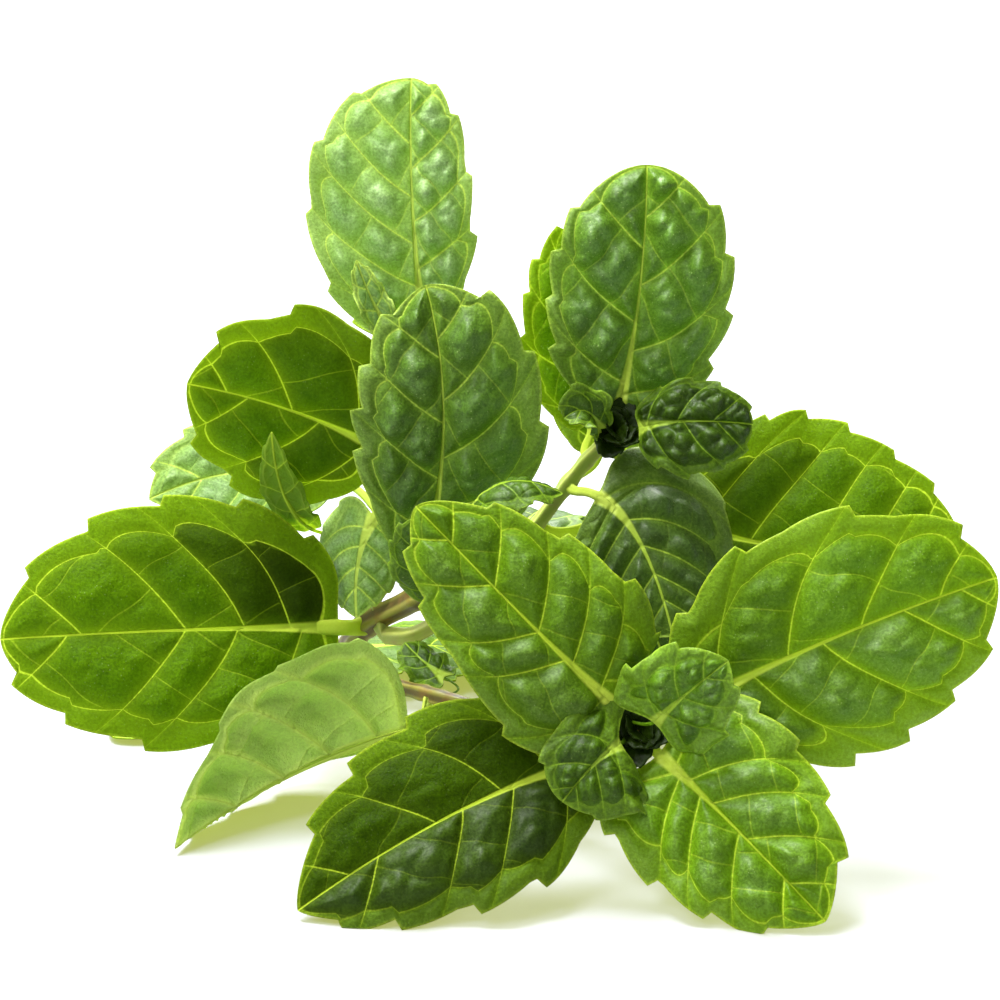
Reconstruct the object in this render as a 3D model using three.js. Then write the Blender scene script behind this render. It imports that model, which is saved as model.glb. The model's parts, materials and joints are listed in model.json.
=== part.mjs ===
// A cut mint sprig that lies on a table: square stems, leaf pairs that cross at each node, and shoot tips.
// Millimetres, +Z up. The origin is on the table, under the middle of the sprig.
import * as THREE from 'three';

// Driving dimensions.
const JOINT_GAP = 0.3;             // between a petiole and the stem that it leaves
const PETIOLE_HALF_WIDTH = 0.6;
const PETIOLE_HALF_THICKNESS = 0.45;
const BLADE_HALF_THICKNESS = 0.2;
const TIP_SHARE = 0.07;            // the blade's width at its very tip, as a share of its widest
const BASE_POWER = 0.5;            // how roundly the blade starts
const PETIOLE_ROWS = 2;
const BLADE_ROWS = 8;
const CELLS_ACROSS = 4;
const STEM_STEP = 4;               // length of one straight stretch of a stem
const CORNER_SHARE = 0.3;          // how far a square stem's corners are rounded off
const SQUARE_REACH = 1.25;         // a square stem reaches this much further at its corners
const SHOOT_LEAN = 0.8;            // room for the corner of a shoot that leaves its stem at a slant
const PETIOLE_REACH = 0.4;         // how stiffly a petiole leaves its stem, as a share of its span
const PETIOLE_LEAN = 0.4;          // how far it leans towards the shoot's tip as it leaves
const BUD_SIDES = 8;
const BUD_PROFILE = [[0, 0], [0.65, 0.12], [1, 0.4], [0.75, 0.7], [0, 1]];
const DEGREE = Math.PI / 180;

// Moves the sprig, whose points are given from the middle of its nodes, to the frame's origin.
const SPRIG_OFFSET = [1.45, -2, -0.05];

const COLOURS = {
  blade: { color: 0x4f7a1c, roughness: 0.42 },
  pale_blade: { color: 0x86a65a, roughness: 0.6 },
  dark_blade: { color: 0x2f5220, roughness: 0.45 },
  young_blade: { color: 0x3f6f1d, roughness: 0.4 },
  woody_stem: { color: 0x776a24, roughness: 0.5 },
  green_stem: { color: 0xa9b83e, roughness: 0.45 },
};

// Stems: half width at each end, and the points that the middle line passes through. A shoot's middle
// line starts beside its parent stem, at the given share of the parent's length.
const STEMS = [
  {
    name: 'main_stem', finish: 'woody_stem', half: [1.7, 1.3],
    points: [[-29, 42, 1.9], [-27, 30, 6], [-23.5, 18, 13], [-19.5, 12, 20.5], [-13.5, 9, 25.2],
      [-9.8, 4.4, 29.5], [-7.8, -0.6, 34], [-6.8, -3.2, 40]],
  },
  {
    name: 'front_shoot_stem', finish: 'woody_stem', half: [1.0, 0.9], parent: 'main_stem', at: 0.46,
    points: [[-15.8, 2, 15.4], [-10.5, -4, 16.6], [2.8, -14, 17.4], [13, -22, 19.2], [19, -27, 21.4]],
  },
  {
    name: 'right_shoot_stem', finish: 'green_stem', half: [1.1, 0.9], parent: 'main_stem', at: 0.6,
    points: [[-12, 7, 21.2], [0, 11, 29.6], [8, 14.5, 39], [12.5, 15, 45], [16.5, 14.5, 49.5]],
  },
  {
    name: 'back_shoot_stem', finish: 'green_stem', half: [1.0, 0.8], parent: 'main_stem', at: 0.6,
    points: [[-15, 13.6, 30], [-14, 15.4, 44], [-12.6, 20.5, 58]],
  },
];

// Leaves, with the upper side's left and right as seen from the petiole. A blade's middle line runs
// through base, mid and tip. half is the greatest half width, fold the angle by which each side leaves
// the flat, curl how much further it has turned at the margin, and blunt how square the tip is.
const LEAVES = [
  // Front rosette.
  {
    name: 'front_leaf_upper_left', finish: 'blade', stem: 'front_shoot_stem', at: 0.93,
    base: [16, -28, 25.7], mid: [7, -27.5, 34.7], tip: [-12, -19, 52.2],
    face: [0.1, -0.9, 0.4], half: [13, 14], fold: [4, 4], curl: [-14, -14], blunt: 0.62,
  },
  {
    name: 'front_leaf_right', finish: 'blade', stem: 'front_shoot_stem', at: 0.86,
    base: [27, -23.5, 24.2], mid: [47, -22.5, 34], tip: [69.5, -18, 41],
    face: [-0.05, -0.96, 0.28], half: [17, 17], fold: [4, 4], curl: [-8, -8], blunt: 0.6,
  },
  {
    name: 'front_leaf_lower_right', finish: 'blade', stem: 'front_shoot_stem', at: 0.93,
    base: [21.9, -29.9, 19.3], mid: [32, -38, 12.2], tip: [44.8, -46.3, 1.27],
    face: [-0.15, -0.8, 0.5], half: [14.5, 13.5], fold: [4, 6], curl: [-16, -14], blunt: 0.7,
  },
  {
    name: 'front_leaf_lower_left', finish: 'blade', stem: 'front_shoot_stem', at: 0.86,
    base: [12, -28.5, 17.4], mid: [-7, -36.5, 13], tip: [-28.3, -42.2, 1],
    face: [0.05, -0.75, 0.6], half: [14, 15], fold: [4, 4], curl: [-12, -12], blunt: 0.75,
  },
  {
    name: 'front_young_leaf_right', finish: 'young_blade', stem: 'front_shoot_stem', at: 0.985,
    base: [21.2, -30.6, 24.6], mid: [26, -33, 30.5], tip: [32, -33, 35.7],
    face: [0.1, -0.9, 0.4], half: [7.5, 7.5], fold: [10, 10], curl: [-30, -30], blunt: 0.5,
  },
  {
    name: 'front_young_leaf_left', finish: 'young_blade', stem: 'front_shoot_stem', at: 0.985,
    base: [16.4, -32, 21.8], mid: [12.4, -35.2, 19.8], tip: [7.7, -36, 13.8],
    face: [0, -0.9, 0.4], half: [7.5, 7.5], fold: [10, 10], curl: [-30, -30], blunt: 0.5,
  },
  // Right rosette, higher and further back.
  {
    name: 'right_leaf_tall', finish: 'blade', stem: 'right_shoot_stem', at: 0.97,
    base: [17, 16.2, 52], mid: [20, 17.5, 70], tip: [21, 22, 88.5],
    face: [0, -0.97, 0.2], half: [14, 14], fold: [6, 6], curl: [-12, -12], blunt: 0.47,
  },
  {
    name: 'right_leaf_behind', finish: 'blade', stem: 'right_shoot_stem', at: 0.88,
    base: [13, 20, 49], mid: [9.8, 24.5, 62], tip: [12.6, 30, 77],
    face: [0.3, -0.9, 0.2], half: [7, 10], fold: [6, 6], curl: [-12, -12], blunt: 0.5,
  },
  {
    name: 'right_leaf_back', finish: 'blade', stem: 'right_shoot_stem', at: 0.8,
    base: [14.5, 20, 44], mid: [17, 30, 54], tip: [18, 40, 62],
    face: [0, -0.6, 0.8], half: [9, 9], fold: [6, 6], curl: [-12, -12], blunt: 0.6,
  },
  {
    name: 'right_young_leaf_right', finish: 'young_blade', stem: 'right_shoot_stem', at: 0.99,
    base: [20.2, 12, 51.3], mid: [27.2, 9, 53.5], tip: [36.6, 10, 52.6],
    face: [0, -0.85, 0.5], half: [6.5, 8], fold: [10, 10], curl: [-35, -35], blunt: 0.5,
  },
  {
    name: 'right_young_leaf_left', finish: 'young_blade', stem: 'right_shoot_stem', at: 0.97,
    base: [14.2, 11.4, 51.4], mid: [12, 9.2, 55], tip: [9, 8, 54.2],
    face: [0.2, -0.7, 0.7], half: [3.5, 4], fold: [20, 20], curl: [10, 10], blunt: 0.6,
  },
  {
    name: 'right_leaf_drooping', finish: 'dark_blade', stem: 'right_shoot_stem', at: 0.78,
    base: [14, 9, 42], mid: [20.2, 5, 36.2], tip: [24.9, -1, 24],
    face: [-0.06, -0.87, 0.48], half: [15.5, 16.5], fold: [-14, -6], curl: [-26, -12], blunt: 0.6,
  },
  {
    name: 'right_leaf_far_right', finish: 'blade', stem: 'right_shoot_stem', at: 0.62,
    base: [24, 17, 36], mid: [45, 16, 31], tip: [67.3, 17, 34.7],
    face: [0, -0.85, 0.5], half: [20, 15], fold: [4, 4], curl: [-8, -8], blunt: 0.6,
  },
  {
    name: 'right_leaf_shaded', finish: 'dark_blade', stem: 'right_shoot_stem', at: 0.45,
    base: [12, 19, 30], mid: [21, 23, 18], tip: [28, 22, 1],
    face: [0.1, -0.9, -0.3], half: [9, 9], fold: [4, 4], curl: [-14, -14], blunt: 0.6,
  },
  {
    name: 'right_leaf_low_back', finish: 'dark_blade', stem: 'right_shoot_stem', at: 0.35,
    base: [2, 20, 29], mid: [5, 31, 30], tip: [8, 42, 25],
    face: [0, 0.1, 0.95], half: [8, 8], fold: [4, 4], curl: [-14, -14], blunt: 0.6,
  },
  // Middle shoot, the end of the main stem.
  {
    name: 'middle_leaf_upright', finish: 'dark_blade', stem: 'main_stem', at: 0.72,
    base: [-10.7, 5.4, 33.5], mid: [-8, 3, 56.8], tip: [-10.7, 8, 75.3],
    face: [0, -0.98, 0.1], half: [12.5, 14.5], fold: [6, 6], curl: [-14, -14], blunt: 0.6,
  },
  {
    name: 'middle_leaf_left', finish: 'blade', stem: 'back_shoot_stem', at: 0.55,
    base: [-17, 15.6, 46.4], mid: [-30, 15, 52.9], tip: [-45.5, 12, 58.3],
    face: [0.2, -0.92, -0.04], half: [14.5, 15.8], fold: [4, 4], curl: [-10, -10], blunt: 0.6,
  },
  {
    name: 'middle_leaf_hanging', finish: 'pale_blade', stem: 'back_shoot_stem', at: 0.46,
    base: [-18.2, 10.9, 38.2], mid: [-20.6, 10, 31], tip: [-20.8, 7.6, 23.2],
    face: [-0.4, -0.9, 0], half: [7, 8], fold: [-22, -10], curl: [-20, -20], blunt: 0.8,
  },
  {
    name: 'middle_young_leaf_right', finish: 'young_blade', stem: 'main_stem', at: 0.985,
    base: [-4.2, -4.2, 45.4], mid: [1.5, -5.2, 49.8], tip: [9, -5, 47.8],
    face: [-0.1, 0, 1], half: [5, 5], fold: [-10, -10], curl: [-40, -40], blunt: 0.6,
  },
  {
    name: 'middle_young_leaf_left', finish: 'young_blade', stem: 'main_stem', at: 0.85,
    base: [-9.8, -3.6, 32], mid: [-11.8, -6.4, 38], tip: [-11.8, -8.5, 46],
    face: [0, -1, 0], half: [4.2, 4], fold: [10, 10], curl: [-50, -50], blunt: 0.6,
  },
  // Back shoot.
  {
    name: 'back_leaf_tall', finish: 'pale_blade', stem: 'back_shoot_stem', at: 0.98,
    base: [-10.8, 23.2, 61.5], mid: [-12.6, 26.5, 80], tip: [-12.8, 33, 98],
    face: [-0.1, -0.97, 0.25], half: [15.5, 8.8], fold: [4, 4], curl: [-10, -10], blunt: 0.56,
  },
  {
    name: 'back_leaf_rear', finish: 'blade', stem: 'back_shoot_stem', at: 0.92,
    base: [-13.5, 26, 60], mid: [-15, 38, 66], tip: [-16, 49, 68],
    face: [0, -0.4, 0.9], half: [9, 9], fold: [4, 4], curl: [-14, -14], blunt: 0.6,
  },
  {
    name: 'back_leaf_small', finish: 'young_blade', stem: 'back_shoot_stem', at: 0.99,
    base: [-15.6, 19, 63], mid: [-18.6, 18.6, 69], tip: [-20.7, 19.5, 74.5],
    face: [0.2, -0.9, 0], half: [2.6, 2.6], fold: [14, 14], curl: [8, 8], blunt: 0.8,
  },
  {
    name: 'back_leaf_left', finish: 'blade', stem: 'back_shoot_stem', at: 0.3,
    base: [-24, 25, 38], mid: [-39, 32, 36.5], tip: [-53, 30.5, 32.5],
    face: [0, -0.75, 0.66], half: [10, 10.8], fold: [4, 4], curl: [-10, -10], blunt: 0.8,
  },
  {
    name: 'back_leaf_low', finish: 'blade', stem: 'back_shoot_stem', at: 0.5,
    base: [-14, 24, 44], mid: [-15, 37, 48], tip: [-18, 50, 46],
    face: [0, 0, 1], half: [9, 9], fold: [4, 4], curl: [-14, -14], blunt: 0.6,
  },
  {
    name: 'back_leaf_folded', finish: 'pale_blade', stem: 'back_shoot_stem', at: 0.2,
    base: [-27.6, 17, 33.5], mid: [-31.2, 10.2, 41.6], tip: [-32.6, 6.5, 53],
    face: [0.2, 0.95, 0.1], half: [3.2, 3.4], fold: [6, 6], curl: [-10, -10], blunt: 0.8,
  },
  // Lowest nodes.
  {
    name: 'left_leaf_large', finish: 'blade', stem: 'main_stem', at: 0.56,
    base: [-23.6, 6, 22.6], mid: [-46, 0, 24.8], tip: [-72.7, 0, 23.3],
    face: [0, -0.9, 0.44], half: [17.3, 19.2], fold: [4, 4], curl: [-10, -10], blunt: 0.6,
  },
  {
    name: 'left_leaf_hanging', finish: 'pale_blade', stem: 'front_shoot_stem', at: 0.37,
    base: [-13, -6, 11.5], mid: [-28.7, -11, 7.9], tip: [-46.1, -22.7, 1],
    face: [0, 0.85, 0.5], half: [17, 12.5], fold: [36, 35], curl: [-8, -8], blunt: 0.9,
  },
  {
    name: 'left_leaf_inner', finish: 'dark_blade', stem: 'front_shoot_stem', at: 0.42,
    base: [-8, -0.2, 17.4], mid: [-11, 2.5, 18.6], tip: [-14, 5.5, 20.5],
    face: [0.2, -0.6, 0.75], half: [3.5, 3.5], fold: [4, 4], curl: [-30, -30], blunt: 0.6,
  },
  {
    name: 'table_leaf_left', finish: 'blade', stem: 'main_stem', at: 0.1,
    base: [-33, 35, 4], mid: [-45, 27, 2.2], tip: [-58, 14, 1],
    face: [0, 0, 1], half: [10, 10], fold: [4, 4], curl: [-14, -14], blunt: 0.6,
  },
  {
    name: 'table_leaf_back', finish: 'blade', stem: 'main_stem', at: 0.1,
    base: [-23, 37, 5], mid: [-11, 41, 4], tip: [3, 43, 1],
    face: [0, 0, 1], half: [10, 10], fold: [4, 4], curl: [-14, -14], blunt: 0.6,
  },
];

// Folded leaf buds at the ends of the shoots: length and greatest radius.
const BUDS = [
  { name: 'front_bud', stem: 'front_shoot_stem', size: [4.5, 1.3] },
  { name: 'right_bud', stem: 'right_shoot_stem', size: [6.5, 1.5] },
  { name: 'middle_bud', stem: 'main_stem', size: [4, 1.3] },
  { name: 'back_bud', stem: 'back_shoot_stem', size: [3.5, 1.1] },
];

const vector = (point) => new THREE.Vector3(...point);

function leafSpine(leaf, stemCurve, stemHalf) {
  const start = stemCurve.getPointAt(leaf.at);
  const along = stemCurve.getTangentAt(leaf.at);
  const base = vector(leaf.base);
  const mid = vector(leaf.mid);
  const tip = vector(leaf.tip);
  const control = mid.clone().multiplyScalar(2).addScaledVector(base, -0.5).addScaledVector(tip, -0.5);
  const outward = base.clone().sub(start);
  outward.addScaledVector(along, -outward.dot(along)).normalize();
  const joint = start.clone().addScaledVector(outward, stemHalf + JOINT_GAP + PETIOLE_HALF_THICKNESS);
  const reach = joint.distanceTo(base) * PETIOLE_REACH;
  const intoBlade = control.clone().sub(base).normalize();
  const leaving = outward.clone().addScaledVector(along, PETIOLE_LEAN).normalize();
  return {
    petiole: new THREE.CubicBezierCurve3(
      joint,
      joint.clone().addScaledVector(leaving, reach),
      base.clone().addScaledVector(intoBlade, -reach),
      base,
    ),
    blade: new THREE.QuadraticBezierCurve3(base, control, tip),
  };
}

function bladeWidth(u, blunt) {
  const widest = BASE_POWER / (BASE_POWER + blunt);
  const shape = (u / widest) ** BASE_POWER * ((1 - u) / (1 - widest)) ** blunt;
  return Math.max(shape, u > widest ? TIP_SHARE : 0);
}

// The point and the upper side's normal at a share v of the way to the margin, in the plane across the leaf.
function crossSection(leaf, v, width) {
  const side = v < 0 ? 0 : 1;
  const out = Math.abs(v);
  const fold = leaf.fold[side] * DEGREE;
  const turn = leaf.curl[side] * DEGREE;
  const slope = fold + turn * out;
  const straight = Math.abs(turn) < 1e-6;
  const across = straight ? Math.cos(fold) * out : (Math.sin(slope) - Math.sin(fold)) / turn;
  const lift = straight ? Math.sin(fold) * out : (Math.cos(fold) - Math.cos(slope)) / turn;
  const way = Math.sign(v);
  return {
    across: way * across * width * leaf.half[side],
    lift: lift * width * leaf.half[side],
    normal: [-way * Math.sin(slope), Math.cos(slope)],
  };
}

function leafRows(leaf, spine) {
  const rows = [];
  for (let i = 0; i < PETIOLE_ROWS; i += 1) {
    rows.push({ curve: spine.petiole, at: i / PETIOLE_ROWS, width: 0, open: 0 });
  }
  for (let i = 0; i <= BLADE_ROWS; i += 1) {
    const u = (1 - Math.cos((Math.PI * i) / BLADE_ROWS)) / 2;
    rows.push({ curve: spine.blade, at: u, width: bladeWidth(u, leaf.blunt), open: Math.min(1, 2 * u) });
  }
  return rows;
}

function squareTo(forward, up) {
  return up.clone().addScaledVector(forward, -up.dot(forward)).normalize();
}

// The blade's up direction at its start, carried back along the petiole.
function turnedWith(start, forward) {
  const turn = new THREE.Quaternion().setFromUnitVectors(start.forward, forward);
  return start.up.clone().applyQuaternion(turn);
}

function leafGeometry(leaf, stem) {
  const spine = leafSpine(leaf, stem.curve, stem.halfAt(leaf.at));
  const start = { forward: spine.blade.getTangent(0) };
  start.up = squareTo(start.forward, vector(leaf.face));
  const upper = [];
  const lower = [];
  for (const row of leafRows(leaf, spine)) {
    const middle = row.curve.getPoint(row.at);
    const forward = row.curve.getTangent(row.at);
    const up = row.width > 0 ? squareTo(forward, vector(leaf.face)) : turnedWith(start, forward);
    const right = forward.clone().cross(up);
    const thickness = THREE.MathUtils.lerp(PETIOLE_HALF_THICKNESS, BLADE_HALF_THICKNESS, row.open);
    for (let j = 0; j <= CELLS_ACROSS; j += 1) {
      const v = (2 * j) / CELLS_ACROSS - 1;
      const section = crossSection(leaf, v, row.width);
      const across = section.across + (1 - row.open) * v * PETIOLE_HALF_WIDTH;
      const point = middle.clone().addScaledVector(right, across).addScaledVector(up, section.lift);
      const normal = right.clone().multiplyScalar(section.normal[0]).addScaledVector(up, section.normal[1]);
      upper.push(point.clone().addScaledVector(normal, thickness));
      lower.push(point.clone().addScaledVector(normal, -thickness));
    }
  }
  return closedSheet(upper, lower, CELLS_ACROSS + 1);
}

// Two sheets of points, row by row, closed round their rim.
function closedSheet(upper, lower, perRow) {
  const rowCount = upper.length / perRow;
  const lowerStart = upper.length;
  const index = [];
  const quad = (a, b, c, d) => index.push(a, b, c, a, c, d);
  const corner = (i, j) => i * perRow + j;
  for (let i = 0; i < rowCount - 1; i += 1) {
    for (let j = 0; j < perRow - 1; j += 1) {
      const [a, b, c, d] = [corner(i, j), corner(i, j + 1), corner(i + 1, j + 1), corner(i + 1, j)];
      quad(a, b, c, d);
      quad(lowerStart + d, lowerStart + c, lowerStart + b, lowerStart + a);
    }
    const [leftA, leftB] = [corner(i, 0), corner(i + 1, 0)];
    const [rightA, rightB] = [corner(i, perRow - 1), corner(i + 1, perRow - 1)];
    quad(leftA, leftB, lowerStart + leftB, lowerStart + leftA);
    quad(rightB, rightA, lowerStart + rightA, lowerStart + rightB);
  }
  for (let j = 0; j < perRow - 1; j += 1) {
    const [startA, startB] = [corner(0, j), corner(0, j + 1)];
    const [endA, endB] = [corner(rowCount - 1, j), corner(rowCount - 1, j + 1)];
    quad(startB, startA, lowerStart + startA, lowerStart + startB);
    quad(endA, endB, lowerStart + endB, lowerStart + endA);
  }
  const geometry = new THREE.BufferGeometry().setFromPoints([...upper, ...lower]);
  geometry.setIndex(index);
  geometry.computeVertexNormals();
  return geometry;
}

function stemParts(stem, stems) {
  const points = stem.points.map(vector);
  if (stem.parent) {
    points.unshift(shootStart(stem, stems[stem.parent], points[0]));
  }
  const curve = new THREE.CatmullRomCurve3(points, false, 'centripetal');
  const halfAt = (at) => THREE.MathUtils.lerp(stem.half[0], stem.half[1], at);
  return { ...stem, curve, halfAt };
}

// A shoot's first point: clear of its parent stem by the joint gap.
function shootStart(stem, parent, next) {
  const heart = parent.curve.getPointAt(stem.at);
  const along = parent.curve.getTangentAt(stem.at);
  const outward = next.clone().sub(heart);
  outward.addScaledVector(along, -outward.dot(along)).normalize();
  const clear = parent.halfAt(stem.at) * SQUARE_REACH + JOINT_GAP + stem.half[0] * SHOOT_LEAN;
  return heart.addScaledVector(outward, clear);
}

function stemGeometry(stem) {
  const half = (stem.half[0] + stem.half[1]) / 2;
  const cut = half * (1 - CORNER_SHARE);
  const corners = [[half, cut], [cut, half], [-cut, half], [-half, cut]];
  const opposite = corners.map(([x, y]) => [-x, -y]);
  const outline = new THREE.Shape([...corners, ...opposite].map(([x, y]) => new THREE.Vector2(x, y)));
  const steps = Math.ceil(stem.curve.getLength() / STEM_STEP);
  return new THREE.ExtrudeGeometry(outline, { steps, bevelEnabled: false, extrudePath: stem.curve });
}

function budGeometry(bud, stem) {
  const [length, radius] = bud.size;
  const points = BUD_PROFILE.map(([out, up]) => new THREE.Vector2(out * radius, up * length));
  const geometry = new THREE.LatheGeometry(points, BUD_SIDES);
  const direction = stem.curve.getTangentAt(1);
  geometry.applyQuaternion(new THREE.Quaternion().setFromUnitVectors(new THREE.Vector3(0, 1, 0), direction));
  const foot = stem.curve.getPointAt(1).addScaledVector(direction, JOINT_GAP);
  return geometry.translate(foot.x, foot.y, foot.z);
}

function namedMesh(name, geometry, finish) {
  const mesh = new THREE.Mesh(geometry, new THREE.MeshStandardMaterial({ ...COLOURS[finish], metalness: 0 }));
  mesh.name = name;
  return mesh;
}

const sprig = new THREE.Group();
sprig.position.set(...SPRIG_OFFSET);
const stems = {};
for (const stem of STEMS) {
  stems[stem.name] = stemParts(stem, stems);
}
for (const stem of Object.values(stems)) {
  sprig.add(namedMesh(stem.name, stemGeometry(stem), stem.finish));
}
for (const leaf of LEAVES) {
  sprig.add(namedMesh(leaf.name, leafGeometry(leaf, stems[leaf.stem]), leaf.finish));
}
for (const bud of BUDS) {
  sprig.add(namedMesh(bud.name, budGeometry(bud, stems[bud.stem]), 'young_blade'));
}

export default sprig;
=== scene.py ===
"""A cut mint sprig on a pale table: square stems, toothed quilted leaves and folded shoot tips."""
import json
import math

import bpy
import numpy as np
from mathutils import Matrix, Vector

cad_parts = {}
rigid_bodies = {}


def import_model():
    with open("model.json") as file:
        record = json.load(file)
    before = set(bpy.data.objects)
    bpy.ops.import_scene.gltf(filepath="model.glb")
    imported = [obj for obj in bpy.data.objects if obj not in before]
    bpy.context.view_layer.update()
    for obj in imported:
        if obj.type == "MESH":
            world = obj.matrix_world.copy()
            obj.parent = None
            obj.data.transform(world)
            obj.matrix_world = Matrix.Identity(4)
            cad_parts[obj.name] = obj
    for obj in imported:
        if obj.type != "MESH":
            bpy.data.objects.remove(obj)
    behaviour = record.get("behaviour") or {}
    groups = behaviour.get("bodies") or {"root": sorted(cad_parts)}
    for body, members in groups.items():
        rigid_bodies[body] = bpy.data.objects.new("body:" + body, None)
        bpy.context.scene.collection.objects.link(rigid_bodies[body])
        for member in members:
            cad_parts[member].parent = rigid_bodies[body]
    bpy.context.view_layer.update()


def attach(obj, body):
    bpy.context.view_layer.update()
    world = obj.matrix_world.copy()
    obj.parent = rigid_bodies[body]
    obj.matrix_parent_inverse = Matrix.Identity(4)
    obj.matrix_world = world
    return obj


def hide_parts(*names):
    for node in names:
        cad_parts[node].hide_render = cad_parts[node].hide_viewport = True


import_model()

MM = 0.001
SPRIG_OFFSET = np.array([1.45, -2.0, -0.05])  # moves the sprig's points, in mm, to the frame's origin

# The shape that the leaves and stems share with the frame. Here and below, lengths are in mm and the other
# numbers are shares, unless a line says otherwise.
JOINT_GAP = 0.3           # between a stem's skin and what grows from it
PETIOLE_HALF_THICKNESS = 0.45
PETIOLE_REACH = 0.4       # how far the ends of a petiole's curve are pulled
PETIOLE_LEAN = 0.4        # how far it leaves its stem along the stem
BASE_POWER = 0.5          # how quickly a blade widens from its base
SQUARE_REACH = 1.25       # a stem's corner, over its half width
SHOOT_LEAN = 0.8          # the part of a shoot's half width by which its start stands further out

# Blades and their margins.
BLADE_HALF_THICKNESS = 0.13
RIM_THICKNESS_SHARE = 0.45
MIDRIB_STEPS = 400
MARGIN_STEPS = 600
MARGIN_WAVES = 2.3        # along the blade
ROW_SLANT = 0.35          # how far the mesh rows lean towards the leaf's tip
EVEN_COLUMNS = 0.6        # how even the columns' spacing is; the rest crowds them at the midrib and margin
LOWEST_MIDRIB = 0.25      # the least length of midrib behind a row, as a share of an even one
TOOTH_MARGIN = 50         # length of the margin that the next two are given for
TOOTH_RUN = 7.0           # longest stretch that one tooth lifts
NOTCH_RUN = 1.0           # from a tooth's tip to the notch after it
TOOTH_HOOK = 0.2          # how far a tooth's point reaches forward, as a share of its depth
TOOTH_INSET = 0.5         # the smooth margin lies this share of a tooth's depth inside the frame's outline

# Where the veins run.
VEIN_LEAN = 0.22          # forward run of a side vein that leaves the midrib at the blade's base
VEIN_FAN = 0.85           # how much more the veins lean towards the blade's tip
VEIN_BEND = 0.14          # how much more each leans near the margin
VEIN_WANDER = 0.022       # as a share of the half width
BASAL_STRIP = 0.34        # the stretch behind the first side vein, as a share of the blade's length
NO_VEIN = 9.0             # a painted distance that reads as far from any vein or margin
NO_STRIP_END = 99.0       # the distance to a vein that isn't there
PANEL_STEP = 17           # a panel's number is its strip's times this, plus its place in the strip

# How the skin stands up between and under them, on a leaf with this half width.
USUAL_HALF_WIDTH = 15
PANEL_WAVE = (0.17, 3.2)  # height and length of the unevenness on a panel's crown
VEIN_HALF_WIDTH = 0.4
LOOP_RIDGE = (0.16, 0.4)  # height and half width of the ridges under the closing loops
CROSS_RIDGE = (0.12, 0.35)
MIDRIB_RIDGE = 0.32       # how far the midrib stands up at the blade's base

# Ribs with their petioles, and stems.
RIB_RADIUS = 0.72
RIB_END = 0.08
RIB_REACH = 0.94          # how far along the blade the rib runs
RIB_STEPS = 44
RIB_SIDES = 14
FULL_RIB_WIDTH = 28       # a narrower blade has a thinner rib
RIB_GROOVE = 0.3          # depth of the petiole's groove, as a share of its radius
PETIOLE_STEPS = 40
PETIOLE_RING_STEP = 0.6
STEM_SIDES = 40
STEM_STEP = 0.45
NODE_SWELL = 0.16         # how much thicker a stem is where a leaf leaves it
CUT_RINGS = ((0.86, 0.0), (0.6, 0.12), (0.25, 0.3))  # size and depth of the rings in a stem's cut end
TABLE_GAP = 0.05          # the least height of any point above the table

SPLINE_STEPS = 60
NOISE_WAVES = 5
PLACES_AT_A_TIME = 2000   # when distances are measured
FAR = 1e9

# By how finely a leaf is worked. grid: mesh rows along it and columns across each half. As shares of the
# half width: how far the closing loops lie from the margin at their tops and at their corners, how far a
# panel's dome takes to rise, and the spacing of the cross veins. cell: width of the small cells in mm.
# swell: how far they show. side_veins: where the side veins usually leave the midrib.
KINDS = {
    "fine": dict(grid=(110, 36), loops=(0.19, 0.33), rise=0.26, cross=0.36, cell=3.0, swell=0.4,
                 side_veins=(0.06, 0.22, 0.4, 0.58, 0.76)),
    "plain": dict(grid=(70, 22), loops=(0.19, 0.33), rise=0.26, cross=0.36, cell=3.0, swell=0.4,
                  side_veins=(0.08, 0.27, 0.48, 0.7)),
    "young": dict(grid=(84, 28), loops=(0.24, 0.38), rise=0.3, cross=0.5, cell=2.3, swell=0.8,
                  side_veins=(0.1, 0.36, 0.64)),
    "bud": dict(grid=(26, 8), loops=(0.3, 0.4), rise=0.3, cross=0.6, cell=1.2, swell=0.8,
                side_veins=(0.3, 0.6)),
}

# half is a stem's half width where it starts and where it ends, and at is where it leaves its parent.
STEMS = [
    dict(name="main_stem", slot="woody_stem", half=(1.7, 1.3),
         points=[(-29, 42, 1.9), (-27, 30, 6), (-23.5, 18, 13), (-19.5, 12, 20.5), (-13.5, 9, 25.2),
                 (-9.8, 4.4, 29.5), (-7.8, -0.6, 34), (-6.8, -3.2, 40)]),
    dict(name="front_shoot_stem", slot="woody_stem", half=(1.0, 0.9), parent="main_stem", at=0.46,
         points=[(-15.8, 2, 15.4), (-10.5, -4, 16.6), (2.8, -14, 17.4), (13, -22, 19.2), (19, -27, 21.4)]),
    dict(name="right_shoot_stem", slot="green_stem", half=(1.1, 0.9), parent="main_stem", at=0.6,
         points=[(-12, 7, 21.2), (0, 11, 29.6), (8, 14.5, 39), (12.5, 15, 45), (16.5, 14.5, 49.5)]),
    dict(name="back_shoot_stem", slot="green_stem", half=(1.0, 0.8), parent="main_stem", at=0.6,
         points=[(-15, 13.6, 30), (-14, 15.4, 44), (-12.6, 20.5, 58)]),
]

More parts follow.
